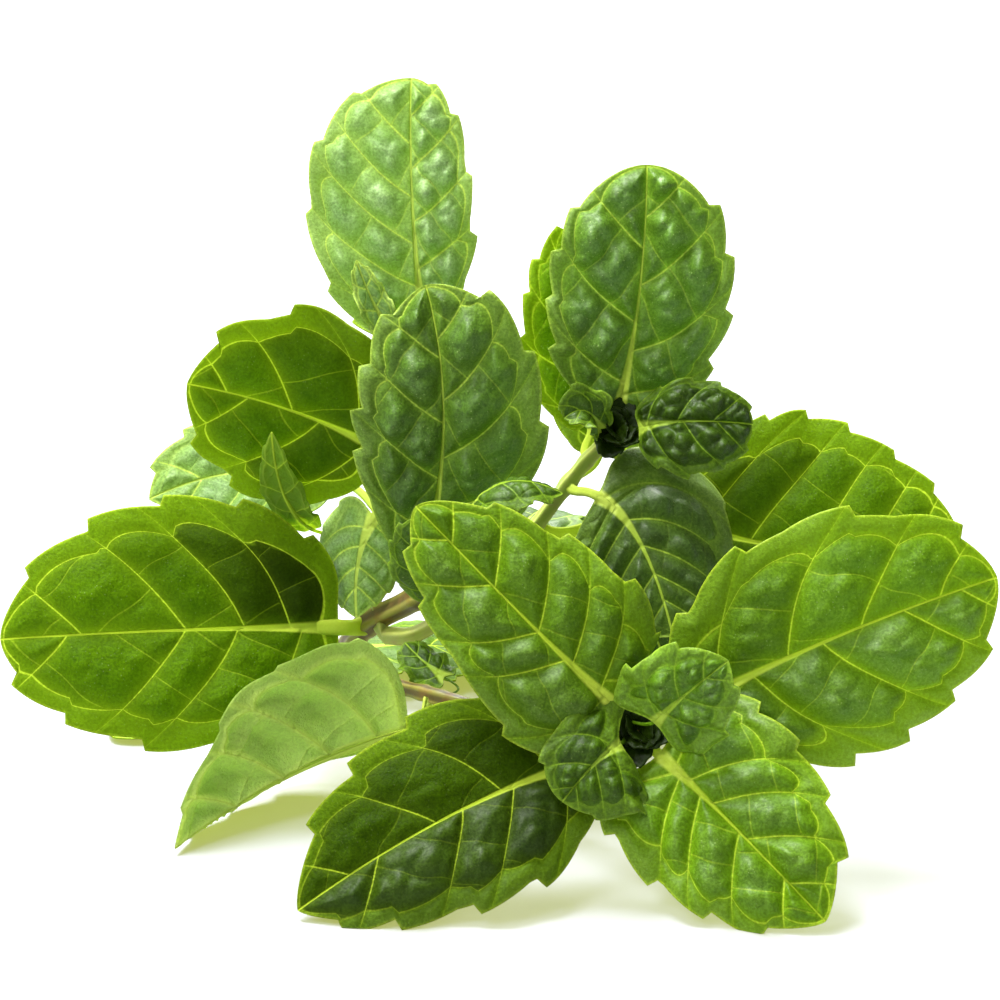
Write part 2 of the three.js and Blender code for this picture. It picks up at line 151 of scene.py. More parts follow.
# What a leaf's row says, unless its own row says otherwise. A pair is for the left and the right half, apart
# from lobe and loops, and one number is for both.
USUAL_LEAF = dict(
    slot="blade",
    detail="plain",
    fold=4,               # degrees that each half rises from the midrib
    curl=-14,             # degrees that it bends on the way to its margin
    blunt=0.6,            # how quickly the outline closes at the tip: a smaller one is squarer
    lobe=(1.2, 0.06),     # how far the outline is drawn back at the base, and where along the blade most
    wave=0.8,             # height of the margin's waves
    tooth=0.9,            # depth of the teeth
    quilt=0.4,            # height of the panels between the veins
    dimples=0.35,         # how far the cross veins press into them
    ridge=0.34,           # height of the side veins' ridges on the underside
    rib=1.0,              # thickness of the rib and the petiole
    tone=0.0,             # how much lighter the leaf is than its material
    base_painted_shade=0.0,        # painted shade that the panels next to its base add to that; above 0 it lightens them
    gloss_and_painted_sheen=0.3,            # how glossy the upper side is, and how much sheen is painted on its panels' crowns
    lines=0.5,            # how clearly the finer veins show
)

# In a row, at is where along its stem the leaf grows, base, mid and tip are points of its midrib, face is the
# way that its upper side looks, and half is its half width. teeth are the places of the tooth tips along the
# left and the right margin, as shares of its length, and veins are where the side veins leave the midrib.
# look is a material other than the slot's own.
LEAVES = [
    dict(name="front_leaf_upper_left", detail="fine", stem="front_shoot_stem", at=0.93,
         base=(16, -28, 25.7), mid=(7, -27.5, 34.7), tip=(-12, -19, 52.2), face=(0.1, -0.9, 0.4),
         half=(13, 14), blunt=0.62, lobe=(2.6, 0.09), tooth=1.2,
         teeth=((0.36, 0.74, 0.88), (0.22, 0.4, 0.6, 0.8)),
         veins=((0.03, 0.25, 0.38, 0.61, 0.82), (0.09, 0.22, 0.39, 0.59, 0.8)), quilt=2.1, dimples=0.4,
         swell=0.2, tone=0.12, base_painted_shade=-0.2, gloss_and_painted_sheen=(0.8, 0.5)),
    dict(name="front_leaf_right", detail="fine", stem="front_shoot_stem", at=0.86, base=(27, -23.5, 24.2),
         mid=(47, -22.5, 34), tip=(69.5, -18, 41), face=(-0.05, -0.96, 0.28), half=17, curl=-8, tooth=1.5,
         teeth=((0.2, 0.38, 0.62, 0.86), (0.3, 0.42, 0.56, 0.7, 0.84)),
         veins=((0.1, 0.31, 0.55, 0.8), (0.03, 0.19, 0.42, 0.68, 0.86)), quilt=(1.9, 2.7), dimples=0.4,
         swell=0.3, tone=0.36, base_painted_shade=-0.3, gloss_and_painted_sheen=(0.45, 1.0), lines=0.7),
    dict(name="front_leaf_lower_right", detail="fine", stem="front_shoot_stem", at=0.93,
         base=(21.9, -29.9, 19.3), mid=(32, -38, 12.2), tip=(44.8, -46.3, 1.27), face=(-0.15, -0.8, 0.5),
         half=(14.5, 13.5), fold=(4, 6), curl=(-16, -14), blunt=0.7, lobe=(5.5, 0.16), tooth=1.4,
         teeth=((0.22, 0.36, 0.5, 0.66, 0.82), (0.3, 0.48, 0.66, 0.82)),
         veins=((0.165, 0.31, 0.52, 0.76), (0.13, 0.25, 0.47, 0.74)), quilt=2.6, dimples=0.4, swell=0.3,
         tone=0.65, gloss_and_painted_sheen=1.0, lines=0.7),
    dict(name="front_leaf_lower_left", detail="fine", stem="front_shoot_stem", at=0.86,
         base=(12, -28.5, 17.4), mid=(-7, -36.5, 13), tip=(-28.3, -42.2, 1), face=(0.05, -0.75, 0.6),
         half=(14, 15), curl=-12, blunt=0.75, tooth=1.7,
         teeth=((0.36, 0.54, 0.74, 0.88), (0.3, 0.48, 0.64, 0.8)),
         veins=((0.07, 0.25, 0.41, 0.7), (0.11, 0.28, 0.5, 0.79)), loops=(0.2, 0.28), quilt=(2.3, 1.0),
         dimples=0.4, swell=0.35, tone=-0.95, base_painted_shade=-0.2, gloss_and_painted_sheen=(0.55, 0.0), lines=0.42),
    dict(name="front_young_leaf_right", slot="young_blade", detail="young", stem="front_shoot_stem",
         at=0.985, base=(21.2, -30.6, 24.6), mid=(26, -33, 30.5), tip=(32, -33, 35.7),
         face=(0.1, -0.9, 0.4), half=(8.2, 8.6), fold=10, curl=-30, blunt=0.7, lobe=(4.6, 0.24), tooth=1.0,
         teeth=((0.45, 0.72), (0.6, 0.85)), loops=(0.3, 0.42), quilt=1.6, dimples=0.3, rib=0.5, tone=1.1,
         gloss_and_painted_sheen=(0.5, 0.7), lines=0.3),
    dict(name="front_young_leaf_left", slot="young_blade", detail="young", stem="front_shoot_stem",
         at=0.985, base=(16.4, -32, 21.8), mid=(12.4, -35.2, 19.8), tip=(7.7, -36, 13.8),
         face=(0, -0.9, 0.4), half=(10.0, 8.0), fold=10, curl=-30, blunt=0.5, lobe=(5.0, 0.26), tooth=0.8,
         teeth=((0.55, 0.82), (0.45, 0.75)), loops=(0.26, 0.38), quilt=1.5, dimples=0.3, rib=0.55,
         tone=-0.15, lines=0.3),
    dict(name="right_leaf_tall", look="dark_blade", detail="fine", stem="right_shoot_stem", at=0.97,
         base=(17, 16.2, 52), mid=(20, 17.5, 70), tip=(21, 22, 88.5), face=(0, -0.97, 0.2),
         half=(13.0, 13.2), fold=6, curl=-12, blunt=0.5, tooth=1.2,
         teeth=((0.3, 0.45, 0.6, 0.74), (0.32, 0.47, 0.62, 0.76)),
         veins=((0.13, 0.37, 0.66), (0.08, 0.26, 0.52, 0.78)), loops=(0.13, 0.25), quilt=3.0, dimples=0.7,
         swell=0.35, tone=1.3, base_painted_shade=(-0.1, -0.4), gloss_and_painted_sheen=(0.8, 0.6), lines=0.8),
    dict(name="right_leaf_behind", stem="right_shoot_stem", at=0.88, base=(13, 20, 49), mid=(9.8, 24.5, 62),
         tip=(12.6, 30, 77), face=(0.3, -0.9, 0.2), half=(7, 10), fold=6, curl=-12, blunt=0.5, quilt=0.8,
         tone=0.45, gloss_and_painted_sheen=0.1),
    dict(name="right_leaf_back", stem="right_shoot_stem", at=0.8, base=(14.5, 20, 44), mid=(17, 30, 54),
         tip=(18, 40, 62), face=(0, -0.6, 0.8), half=9, fold=6, curl=-12),
    dict(name="right_young_leaf_right", slot="young_blade", detail="young", stem="right_shoot_stem",
         at=0.99, base=(20.2, 12, 51.3), mid=(27.2, 9, 53.5), tip=(36.6, 10, 52.6), face=(0, -0.85, 0.5),
         half=(6.5, 8), fold=10, curl=-35, blunt=0.5, tooth=0.7, loops=(0.16, 0.26), quilt=1.8, dimples=0.3,
         rib=0.6, tone=-0.6, gloss_and_painted_sheen=0.45, lines=0.2),
    dict(name="right_young_leaf_left", slot="young_blade", detail="young", stem="right_shoot_stem", at=0.97,
         base=(14.2, 11.4, 51.4), mid=(12, 9.2, 55), tip=(9, 8, 54.2), face=(0.2, -0.7, 0.7), half=(3.5, 4),
         fold=20, curl=10, tooth=0.4, quilt=0.2, tone=-0.05, gloss_and_painted_sheen=0.6),
    dict(name="right_leaf_drooping", slot="dark_blade", detail="fine", stem="right_shoot_stem", at=0.78,
         base=(14, 9, 42), mid=(20.2, 5, 36.2), tip=(24.9, -1, 24), face=(-0.06, -0.87, 0.48),
         half=(15.5, 16.5), fold=(-14, -6), curl=(-26, -12), tooth=0.5, quilt=2.2, dimples=0.5, swell=0.5,
         rib=0.95, tone=-0.3, base_painted_shade=0.3, gloss_and_painted_sheen=1.0, lines=0.0),
    dict(name="right_leaf_far_right", detail="fine", stem="right_shoot_stem", at=0.62, base=(24, 17, 36),
         mid=(45, 16, 31), tip=(67.3, 17, 34.7), face=(0, -0.85, 0.5), half=(20, 15), curl=-8, tooth=1.3,
         teeth=((0.36, 0.5, 0.64, 0.78, 0.9), (0.3, 0.5, 0.7, 0.86)),
         veins=((0.12, 0.3, 0.5, 0.7, 0.86), (0.15, 0.36, 0.6, 0.82)), loops=(0.2, 0.27), quilt=1.6,
         swell=0.15, rib=1.25, tone=-0.1, base_painted_shade=-0.7, gloss_and_painted_sheen=(0.05, 0.1), lines=0.9),
    dict(name="right_leaf_shaded", slot="dark_blade", stem="right_shoot_stem", at=0.45, base=(12, 19, 30),
         mid=(21, 23, 18), tip=(28, 22, 1), face=(0.1, -0.9, -0.3), half=9, tone=-0.4, gloss_and_painted_sheen=0.2),
    dict(name="right_leaf_low_back", slot="dark_blade", stem="right_shoot_stem", at=0.35, base=(2, 20, 29),
         mid=(5, 31, 30), tip=(8, 42, 25), face=(0, 0.1, 0.95), half=8, tone=0.2),
    dict(name="middle_leaf_upright", slot="dark_blade", detail="fine", stem="main_stem", at=0.72,
         base=(-10.7, 5.4, 33.5), mid=(-8, 3, 56.8), tip=(-10.7, 8, 75.3), face=(0, -0.98, 0.1),
         half=(12.5, 14.5), fold=6, tooth=1.6, teeth=((0.42, 0.56, 0.7, 0.86), (0.36, 0.52, 0.68, 0.84)),
         veins=((0.12, 0.32, 0.52, 0.74), (0.2, 0.4, 0.6, 0.8)), quilt=2.5, dimples=0.7, swell=0.35,
         tone=0.65, gloss_and_painted_sheen=(0.6, 0.5), lines=0.9),
    dict(name="middle_leaf_left", detail="fine", stem="back_shoot_stem", at=0.55, base=(-17, 15.6, 46.4),
         mid=(-30, 15, 52.9), tip=(-45.5, 12, 58.3), face=(0.2, -0.92, -0.04), half=(14.5, 15.8), curl=-10,
         tooth=1.3, teeth=((0.4, 0.6, 0.8), (0.36, 0.6, 0.82)),
         veins=((0.08, 0.33, 0.68), (0.13, 0.48, 0.78)), loops=(0.2, 0.27), quilt=1.3, dimples=0.25,
         swell=0.15, tone=-0.2, base_painted_shade=-0.5, gloss_and_painted_sheen=0.05, lines=0.95),
    dict(name="middle_leaf_hanging", slot="pale_blade", stem="back_shoot_stem", at=0.46,
         base=(-18.2, 10.9, 38.2), mid=(-20.6, 10, 31), tip=(-20.8, 7.6, 23.2), face=(-0.4, -0.9, 0),
         half=(7, 8), fold=(-22, -10), curl=-20, blunt=0.8, tooth=0.4, quilt=0.8, swell=0.3, tone=0.8,
         gloss_and_painted_sheen=1.0, lines=0.0),
    dict(name="middle_young_leaf_right", slot="young_blade", detail="young", stem="main_stem", at=0.985,
         base=(-4.2, -4.2, 45.4), mid=(1.5, -5.2, 49.8), tip=(9, -5, 47.8), face=(-0.1, 0, 1), half=5,
         fold=-10, curl=-40, tooth=0.6, quilt=0.5, gloss_and_painted_sheen=0.5),
    dict(name="middle_young_leaf_left", slot="young_blade", detail="young", stem="main_stem", at=0.85,
         base=(-9.8, -3.6, 32), mid=(-11.8, -6.4, 38), tip=(-11.8, -8.5, 46), face=(0, -1, 0),
         half=(4.2, 4), fold=10, curl=-50, tooth=0.5, quilt=0.3, tone=0.1),
    dict(name="back_leaf_tall", slot="pale_blade", detail="fine", stem="back_shoot_stem", at=0.98,
         base=(-10.8, 23.2, 61.5), mid=(-12.6, 26.5, 80), tip=(-12.8, 33, 98), face=(-0.1, -0.97, 0.25),
         half=(15.5, 8.8), curl=-10, blunt=0.5, tooth=1.0,
         teeth=((0.3, 0.5, 0.68, 0.84), (0.4, 0.6, 0.8, 0.92)),
         veins=((0.06, 0.2, 0.36, 0.54, 0.74), (0.1, 0.26, 0.44, 0.64, 0.84)), loops=(0.12, 0.24),
         quilt=2.4, dimples=0.7, swell=0.4, tone=1.0, gloss_and_painted_sheen=1.0, lines=0.85),
    dict(name="back_leaf_rear", stem="back_shoot_stem", at=0.92, base=(-13.5, 26, 60), mid=(-15, 38, 66),
         tip=(-16, 49, 68), face=(0, -0.4, 0.9), half=9, tone=0.1),
    dict(name="back_leaf_small", look="pale_blade", slot="young_blade", detail="young",
         stem="back_shoot_stem", at=0.99, base=(-15.6, 19, 63), mid=(-18.6, 18.6, 69),
         tip=(-20.7, 19.5, 74.5), face=(0.2, -0.9, 0), half=2.6, fold=14, curl=8, blunt=0.8, tooth=0.3,
         quilt=0.2, tone=1.2),
    dict(name="back_leaf_left", look="pale_blade", stem="back_shoot_stem", at=0.3, base=(-24, 25, 38),
         mid=(-39, 32, 36.5), tip=(-53, 30.5, 32.5), face=(0, -0.75, 0.66), half=(10, 10.8), curl=-10,
         blunt=0.8, tooth=1.0, quilt=1.3, swell=0.5, tone=0.75, gloss_and_painted_sheen=0.6, lines=0.1),
    dict(name="back_leaf_low", stem="back_shoot_stem", at=0.5, base=(-14, 24, 44), mid=(-15, 37, 48),
         tip=(-18, 50, 46), face=(0, 0, 1), half=9, tone=-0.1),
    dict(name="back_leaf_folded", look="blade", slot="pale_blade", stem="back_shoot_stem", at=0.2,
         base=(-27.6, 17, 33.5), mid=(-31.2, 10.2, 41.6), tip=(-32.6, 6.5, 53), face=(0.2, 0.95, 0.1),
         half=(3.2, 3.4), fold=6, curl=-10, blunt=0.8, tooth=0.25, quilt=0.3, tone=0.5, gloss_and_painted_sheen=0.5,
         lines=0.2),
    dict(name="left_leaf_large", detail="fine", stem="main_stem", at=0.56, base=(-23.6, 6, 22.6),
         mid=(-46, 0, 24.8), tip=(-72.7, 0, 23.3), face=(0, -0.9, 0.44), half=(17.3, 19.2), curl=-10,
         tooth=1.6, teeth=((0.4, 0.58, 0.76, 0.9), (0.2, 0.36, 0.52, 0.68, 0.84)),
         veins=((0.11, 0.3, 0.45, 0.79), (0.14, 0.28, 0.45, 0.75)), loops=(0.2, 0.27), quilt=1.6,
         dimples=0.5, swell=0.2, rib=1.6, tone=-0.17, base_painted_shade=(-0.1, -1.15), gloss_and_painted_sheen=0.0, lines=0.9),
    dict(name="left_leaf_hanging", slot="pale_blade", detail="fine", stem="front_shoot_stem", at=0.37,
         base=(-13, -6, 11.5), mid=(-28.7, -11, 7.9), tip=(-46.1, -22.7, 1), face=(0, 0.85, 0.5),
         half=(17, 12.5), fold=(36, 35), curl=-8, blunt=0.9, wave=1.1, tooth=0.8,
         veins=((0.12, 0.3, 0.5, 0.72), (0.12, 0.3, 0.5, 0.72)), loops=(0.12, 0.22), quilt=2.2, dimples=0.4,
         swell=0.3, ridge=0.6, tone=1.9, gloss_and_painted_sheen=0.15, lines=0.85),
    dict(name="left_leaf_inner", look="young_blade", slot="dark_blade", detail="young",
         stem="front_shoot_stem", at=0.42, base=(-8, -0.2, 17.4), mid=(-11, 2.5, 18.6),
         tip=(-14, 5.5, 20.5), face=(0.2, -0.6, 0.75), half=3.5, curl=-30, tooth=0.4, quilt=0.3, rib=0.5,
         tone=-0.2, lines=0.1),
    dict(name="table_leaf_left", stem="main_stem", at=0.1, base=(-33, 35, 4), mid=(-45, 27, 2.2),
         tip=(-58, 14, 1), face=(0, 0, 1), half=10, tone=0.4),
    dict(name="table_leaf_back", stem="main_stem", at=0.1, base=(-23, 37, 5), mid=(-11, 41, 4),
         tip=(3, 43, 1), face=(0, 0, 1), half=10, tone=0.1),
]

BUDS = [
    dict(name="front_bud", stem="front_shoot_stem", length=5.2, spread=1.0, axis=(0.05, -0.8, 0.6)),
    dict(name="right_bud", stem="right_shoot_stem", length=5.0, spread=0.9, axis=(0.1, -0.75, 0.65)),
    dict(name="middle_bud", stem="main_stem", length=4.0),
    dict(name="back_bud", stem="back_shoot_stem", length=3.5),
]

# The crossed pairs of a bud's leaves, from the outside in: length, spread, width, and the turn about the
# shoot in half turns.
BUD_PAIRS = ((1.0, 1.0, 0.9, 0.72), (0.95, 0.85, 1.0, 0.22), (0.85, 0.65, 1.0, 0.97), (0.7, 0.4, 0.9, 0.47))
# The bud's leaves are painted dark, as painted shade in the middle of the shoot tip, and their loops lie at
# the margin so that almost no painted glow band shows.
BUD_LEAF = dict(at=1.0, fold=14, curl=14, tooth=0.3, quilt=0.25, detail="bud", wave=0.15, rib=0.4,
                lobe=(0.2, 0.06), tone=-1.25, gloss_and_painted_sheen=0.1, lines=0.0, loops=(0.02, 0.04))

# Looks. Scales are in cells or waves a metre, and colours are red, green and blue.
MOTTLE_SCALE = 320.0
GRAIN_SCALE = 2600.0
CELL_SCALE = 900.0
GLAND_SCALE = 1500.0
RIB_BASE_COLOUR = (0.8, 0.9, 0.14)
GLAND_COLOUR = (0.48, 0.6, 0.2)
UNDER_RELIEF = 2.5        # how much stronger the relief is on the underside, where it is turned over

# By slot: the material's name, the share of light that passes through the leaf, how strongly it reflects,
# and what its skin is given.
# Some of each skin's colours are painted light: a backlight glow by the veins and in the margin band, shade
# on the panels' slopes, and sheen on their crowns.
LEAF_FINISHES = {
    "blade": ("leaf_green", 0.48, 0.05, {
        "Panel": (0.112, 0.24, 0.001), "Deep": (0.05, 0.13, 0.001), "Fresh": (0.21, 0.365, 0.009),
        "Vein": (0.57, 0.76, 0.04), "Painted Sheen": (0.192, 0.272, 0.08), "Under": (0.165, 0.27, 0.045),
        "Glow Panel": (0.066, 0.16, 0.002), "Glow Fresh": (0.323, 0.493, 0.0085),
        "Painted Edge Glow": 0.6, "Halo": 0.6, "Vein Width": 0.085, "Vein Strength": 0.95, "Shine": 0.45}),
    "pale_blade": ("leaf_pale", 0.42, 0.12, {
        "Panel": (0.18, 0.295, 0.075), "Deep": (0.09, 0.19, 0.03), "Fresh": (0.302, 0.403, 0.072),
        "Vein": (0.52, 0.68, 0.1), "Painted Sheen": (0.336, 0.44, 0.288), "Under": (0.38, 0.47, 0.1),
        "Glow Panel": (0.096, 0.2, 0.015), "Glow Fresh": (0.306, 0.476, 0.0425),
        "Painted Edge Glow": 0.4, "Halo": 0.4, "Vein Width": 0.09, "Vein Strength": 0.85, "Shine": 0.5}),
    "dark_blade": ("leaf_dark", 0.3, 0.15, {
        "Panel": (0.052, 0.122, 0.004), "Deep": (0.02, 0.054, 0.002), "Fresh": (0.18, 0.3, 0.025),
        "Vein": (0.4, 0.56, 0.05), "Painted Sheen": (0.136, 0.216, 0.08), "Under": (0.105, 0.203, 0.0525),
        "Glow Panel": (0.034, 0.12, 0.0045), "Glow Fresh": (0.17, 0.357, 0.017),
        "Painted Edge Glow": 0.65, "Halo": 0.5, "Vein Width": 0.09, "Vein Strength": 0.75, "Shine": 0.4}),
    "young_blade": ("leaf_young", 0.3, 0.15, {
        "Panel": (0.066, 0.15, 0.001), "Deep": (0.02, 0.052, 0.001), "Fresh": (0.17, 0.31, 0.012),
        "Vein": (0.3, 0.48, 0.03), "Painted Sheen": (0.2, 0.3, 0.08), "Under": (0.135, 0.255, 0.06),
        "Glow Panel": (0.04, 0.135, 0.003), "Glow Fresh": (0.221, 0.425, 0.017),
        "Painted Edge Glow": 0.6, "Halo": 0.15, "Vein Width": 0.07, "Vein Strength": 0.5, "Shine": 0.36}),
}
STEM_FINISHES = {
    "woody_stem": dict(name="stem_woody", ridge=(0.27, 0.25, 0.04), groove=(0.1, 0.075, 0.012),
                       old=(0.24, 0.11, 0.02), pith=(0.55, 0.55, 0.3), roughness=0.5),
    "green_stem": dict(name="stem_green", ridge=(0.42, 0.5, 0.09), groove=(0.28, 0.38, 0.05),
                       old=(0.3, 0.26, 0.08), pith=(0.6, 0.6, 0.35), roughness=0.45),
}

# The table and the lamps, in metres and watts.
TABLE_HALF_WIDTH = 6.0
LAMPS = [
    dict(name="overhead", place=(-0.3, 0.2, 1.0), target=(0, 0, 0.03), size=(0.35, 0.35), power=26.0),
    dict(name="back", place=(-0.05, 0.75, 0.6), target=(0, 0, 0.05), size=(0.35, 0.35), power=22.0),
    dict(name="front", place=(-0.6, -0.45, 0.95), target=(0, 0, 0.04), size=(0.35, 0.35), power=9.0),
    dict(name="window", place=(-0.3, -1.0, 0.45), target=(0, 0, 0.04), size=(0.9, 0.4), power=2.5),
]
CAMERA_TILT = 22          # degrees above the table
CAMERA_DISTANCE = 600
VIEW_WIDTH = 142          # of what the camera takes in at the sprig's middle
VIEW_HEIGHT = 45.0        # of the point that the camera is aimed at
SENSOR_WIDTH = 36.0


def full_row(row):
    """A leaf's row with the usual values filled in."""
    leaf = {**USUAL_LEAF, **row}
    return {**KINDS[leaf["detail"]], **leaf}


def for_half(value, side):
    """A leaf's value for its left half, side 0, or its right one, side 1."""
    return np.broadcast_to(value, 2)[side]


# ---------------------------------------------------------------- vectors and lines

def unit(vectors):
    return vectors / np.linalg.norm(vectors, axis=-1, keepdims=True)


def square_to(forward, up):
    """The part of up that is square to forward, as a unit vector."""
    forward = np.asarray(forward, float)
    up = np.broadcast_to(np.asarray(up, float), forward.shape)
    return unit(up - forward * np.sum(forward * up, -1, keepdims=True))


def carried(up, forward_from, forward_to):
    """up turned by the smallest turn that takes one direction to the other."""
    axis = np.cross(forward_from, forward_to)
    cosine = np.sum(forward_from * forward_to, -1, keepdims=True)
    turned = up * cosine + np.cross(axis, up) + axis * np.sum(axis * up, -1, keepdims=True) / (1 + cosine)
    return square_to(forward_to, turned)


def smoothstep(low, high, x):
    t = np.clip((x - low) / (high - low), 0, 1)
    return t * t * (3 - 2 * t)


def whole_turn(steps):
    return np.linspace(0, 2 * math.pi, steps, endpoint=False)


class Line:
    """A line through many points, read by the share of its length."""

    def __init__(self, points):
        self.points = points
        steps = np.linalg.norm(np.diff(points, axis=0), axis=1)
        self.measured = np.concatenate([[0], np.cumsum(steps)])
        self.length = self.measured[-1]
        self.tangents = unit(np.gradient(points, self.measured, axis=0))

    def read(self, rows, share):
        where = np.asarray(share) * self.length
        return np.stack([np.interp(where, self.measured, rows[:, k]) for k in range(3)], -1)

    def at(self, share):
        return self.read(self.points, share)

    def along(self, share):
        return unit(self.read(self.tangents, share))


def through_points(points):
    """A centripetal spline through the points."""
    p = np.array(points, float)
    p = np.vstack([2 * p[0] - p[1], p, 2 * p[-1] - p[-2]])
    run = []
    t = np.linspace(0, 1, SPLINE_STEPS, endpoint=False)[:, None]
    for a, b, c, d in zip(p[:-3], p[1:-2], p[2:-1], p[3:]):
        gaps = [math.sqrt(np.linalg.norm(y - x)) for x, y in ((a, b), (b, c), (c, d))]
        leave = (b - a) / gaps[0] - (c - a) / (gaps[0] + gaps[1]) + (c - b) / gaps[1]
        arrive = (c - b) / gaps[1] - (d - b) / (gaps[1] + gaps[2]) + (d - c) / gaps[2]
        leave, arrive = leave * gaps[1], arrive * gaps[1]
        cubic = (2 * b - 2 * c + leave + arrive, -3 * b + 3 * c - 2 * leave - arrive, leave, b)
        run.append(((cubic[0] * t + cubic[1]) * t + cubic[2]) * t + cubic[3])
    return Line(np.vstack(run + [p[-2][None]]))


def plain_noise(seed, scale):
    """A smooth uneven value over the plane, about -1 to 1, that repeats only far away."""
    rng = np.random.default_rng(seed)
    turns = rng.uniform(0, 2 * math.pi, NOISE_WAVES)
    rates = rng.uniform(0.6, 1.5, NOISE_WAVES) / scale
    starts = rng.uniform(0, 2 * math.pi, NOISE_WAVES)

    def value(x, y):
        total = 0
        for turn, rate, start in zip(turns, rates, starts):
            total = total + np.sin((x * math.cos(turn) + y * math.sin(turn)) * rate * 2 * math.pi + start)
        return total / NOISE_WAVES * 1.4

    return value


def scattered(value, times=43758.5453):
    """A number from 0 to 1 that jumps about as value changes."""
    value = np.sin(value) * times
    return value - np.floor(value)


def honeycomb(x, y, size, seed):
    """Distance in mm to the nearest border between irregular cells."""
    column, line = np.floor(x / size), np.floor(y / size)
    nearest = np.full(x.shape, FAR)
    second = np.full(x.shape, FAR)
    for over in (-1, 0, 1):
        for up in (-1, 0, 1):
            a, b = column + over, line + up
            shift = scattered(a * 12.9898 + b * 78.233 + seed)
            lift = scattered(a * 39.3468 + b * 11.135 + seed, 24634.6345)
            heart_x = (a + 0.5 + 0.7 * (shift - 0.5)) * size
            heart_y = (b + 0.5 + 0.7 * (lift - 0.5)) * size
            away = np.hypot(x - heart_x, y - heart_y)
            second = np.minimum(second, np.maximum(nearest, away))
            nearest = np.minimum(nearest, away)
    return (second - nearest) / 2


def name_seed(name):
    return sum(ord(letter) * (place + 7) for place, letter in enumerate(name))


# ---------------------------------------------------------------- stems

def grown_stems():
    stems = {}
    for spec in STEMS:
        points = [np.array(p, float) for p in spec["points"]]
        if "parent" in spec:
            parent = stems[spec["parent"]]
            heart = parent["line"].at(spec["at"])
            along = parent["line"].along(spec["at"])
            outward = points[0] - heart
            outward = unit(outward - along * (outward @ along))
            clear = half_at(parent, spec["at"]) * SQUARE_REACH + JOINT_GAP + spec["half"][0] * SHOOT_LEAN
            points.insert(0, heart + outward * clear)
        stems[spec["name"]] = dict(spec, line=through_points(points))
    return stems


def half_at(stem, share):
    return stem["half"][0] + (stem["half"][1] - stem["half"][0]) * share


# ---------------------------------------------------------------- a leaf's midrib and petiole

def leaf_lines(leaf, stem):
    """The blade's base, control point and tip, and the petiole from inside the stem to the blade."""
    start = stem["line"].at(leaf["at"])
    along = stem["line"].along(leaf["at"])
    base, mid, tip = (np.array(leaf[key], float) for key in ("base", "mid", "tip"))
    control = 2 * mid - 0.5 * base - 0.5 * tip
    outward = base - start
    outward = unit(outward - along * (outward @ along))
    clear = half_at(stem, leaf["at"]) + JOINT_GAP + PETIOLE_HALF_THICKNESS
    joint = start + outward * clear
    reach = np.linalg.norm(base - joint) * PETIOLE_REACH
    into_blade = unit(control - base)
    leaving = unit(outward + along * PETIOLE_LEAN)
    t = np.linspace(0, 1, PETIOLE_STEPS)[:, None]
    a, b, c = joint, joint + leaving * reach, base - into_blade * reach
    petiole = a * (1 - t) ** 3 + 3 * b * t * (1 - t) ** 2 + 3 * c * t * t * (1 - t) + base * t ** 3
    petiole = np.vstack([start + outward * clear * 0.3, petiole])
    return base, control, tip, Line(petiole)


class Blade:
    """One leaf's surface: flat places along and out from the midrib, in mm, and where they lie in space."""

    def __init__(self, leaf, stem):
        self.leaf = leaf
        self.base, self.control, self.tip, self.petiole = leaf_lines(leaf, stem)
        self.u = np.linspace(0, 1, MIDRIB_STEPS)
        line = Line(self.middle(self.u))
        self.measured, self.length = line.measured, line.length

    def middle(self, u):
        u = np.asarray(u)[..., None]
        return self.base * (1 - u) ** 2 + 2 * self.control * u * (1 - u) + self.tip * u * u

    def forward(self, u):
        u = np.asarray(u)[..., None]
        return unit((self.control - self.base) * (1 - u) + (self.tip - self.control) * u)

    def u_at(self, along):
        """The midrib's own parameter at a length along it, also a little way behind the base."""
        start_rate = self.u[1] / self.measured[1]
        return np.where(along < 0, along * start_rate, np.interp(along, self.measured, self.u))

    def width_share(self, u):
        blunt = self.leaf["blunt"]
        widest = BASE_POWER / (BASE_POWER + blunt)
        u = np.clip(u, 0, 1)
        return (u / widest) ** BASE_POWER * ((1 - u) / (1 - widest)) ** blunt

    def frame(self, u):
        forward = self.forward(u)
        up = square_to(forward, self.leaf["face"])
        return forward, up, np.cross(forward, up)

    def place(self, along, out, side):
        """Points and upper-side normals on one half."""
        leaf = self.leaf
        u = self.u_at(along)
        _, up, right = self.frame(u)
        way = -1 if side == 0 else 1
        half = for_half(leaf["half"], side)
        fold = math.radians(for_half(leaf["fold"], side))
        turn = math.radians(for_half(leaf["curl"], side))
        bend = turn / (half * (0.4 + 0.6 * self.width_share(np.clip(u, 0.2, 1))))
        slope = fold + bend * out
        across = (np.sin(slope) - np.sin(fold)) / bend
        lift = (np.cos(fold) - np.cos(slope)) / bend
        seed = name_seed(leaf["name"]) % 7
        edge = smoothstep(0.35, 1.1, out / half)
        waves = along / self.length * 2 * math.pi * MARGIN_WAVES + seed + 2.4 * side
        lift = lift + leaf["wave"] * edge * np.sin(waves)
        points = self.middle(u) + right * (way * across)[..., None] + up * lift[..., None]
        normal = right * (-way * np.sin(slope))[..., None] + up * np.cos(slope)[..., None]
        return points, normal


# ---------------------------------------------------------------- margins

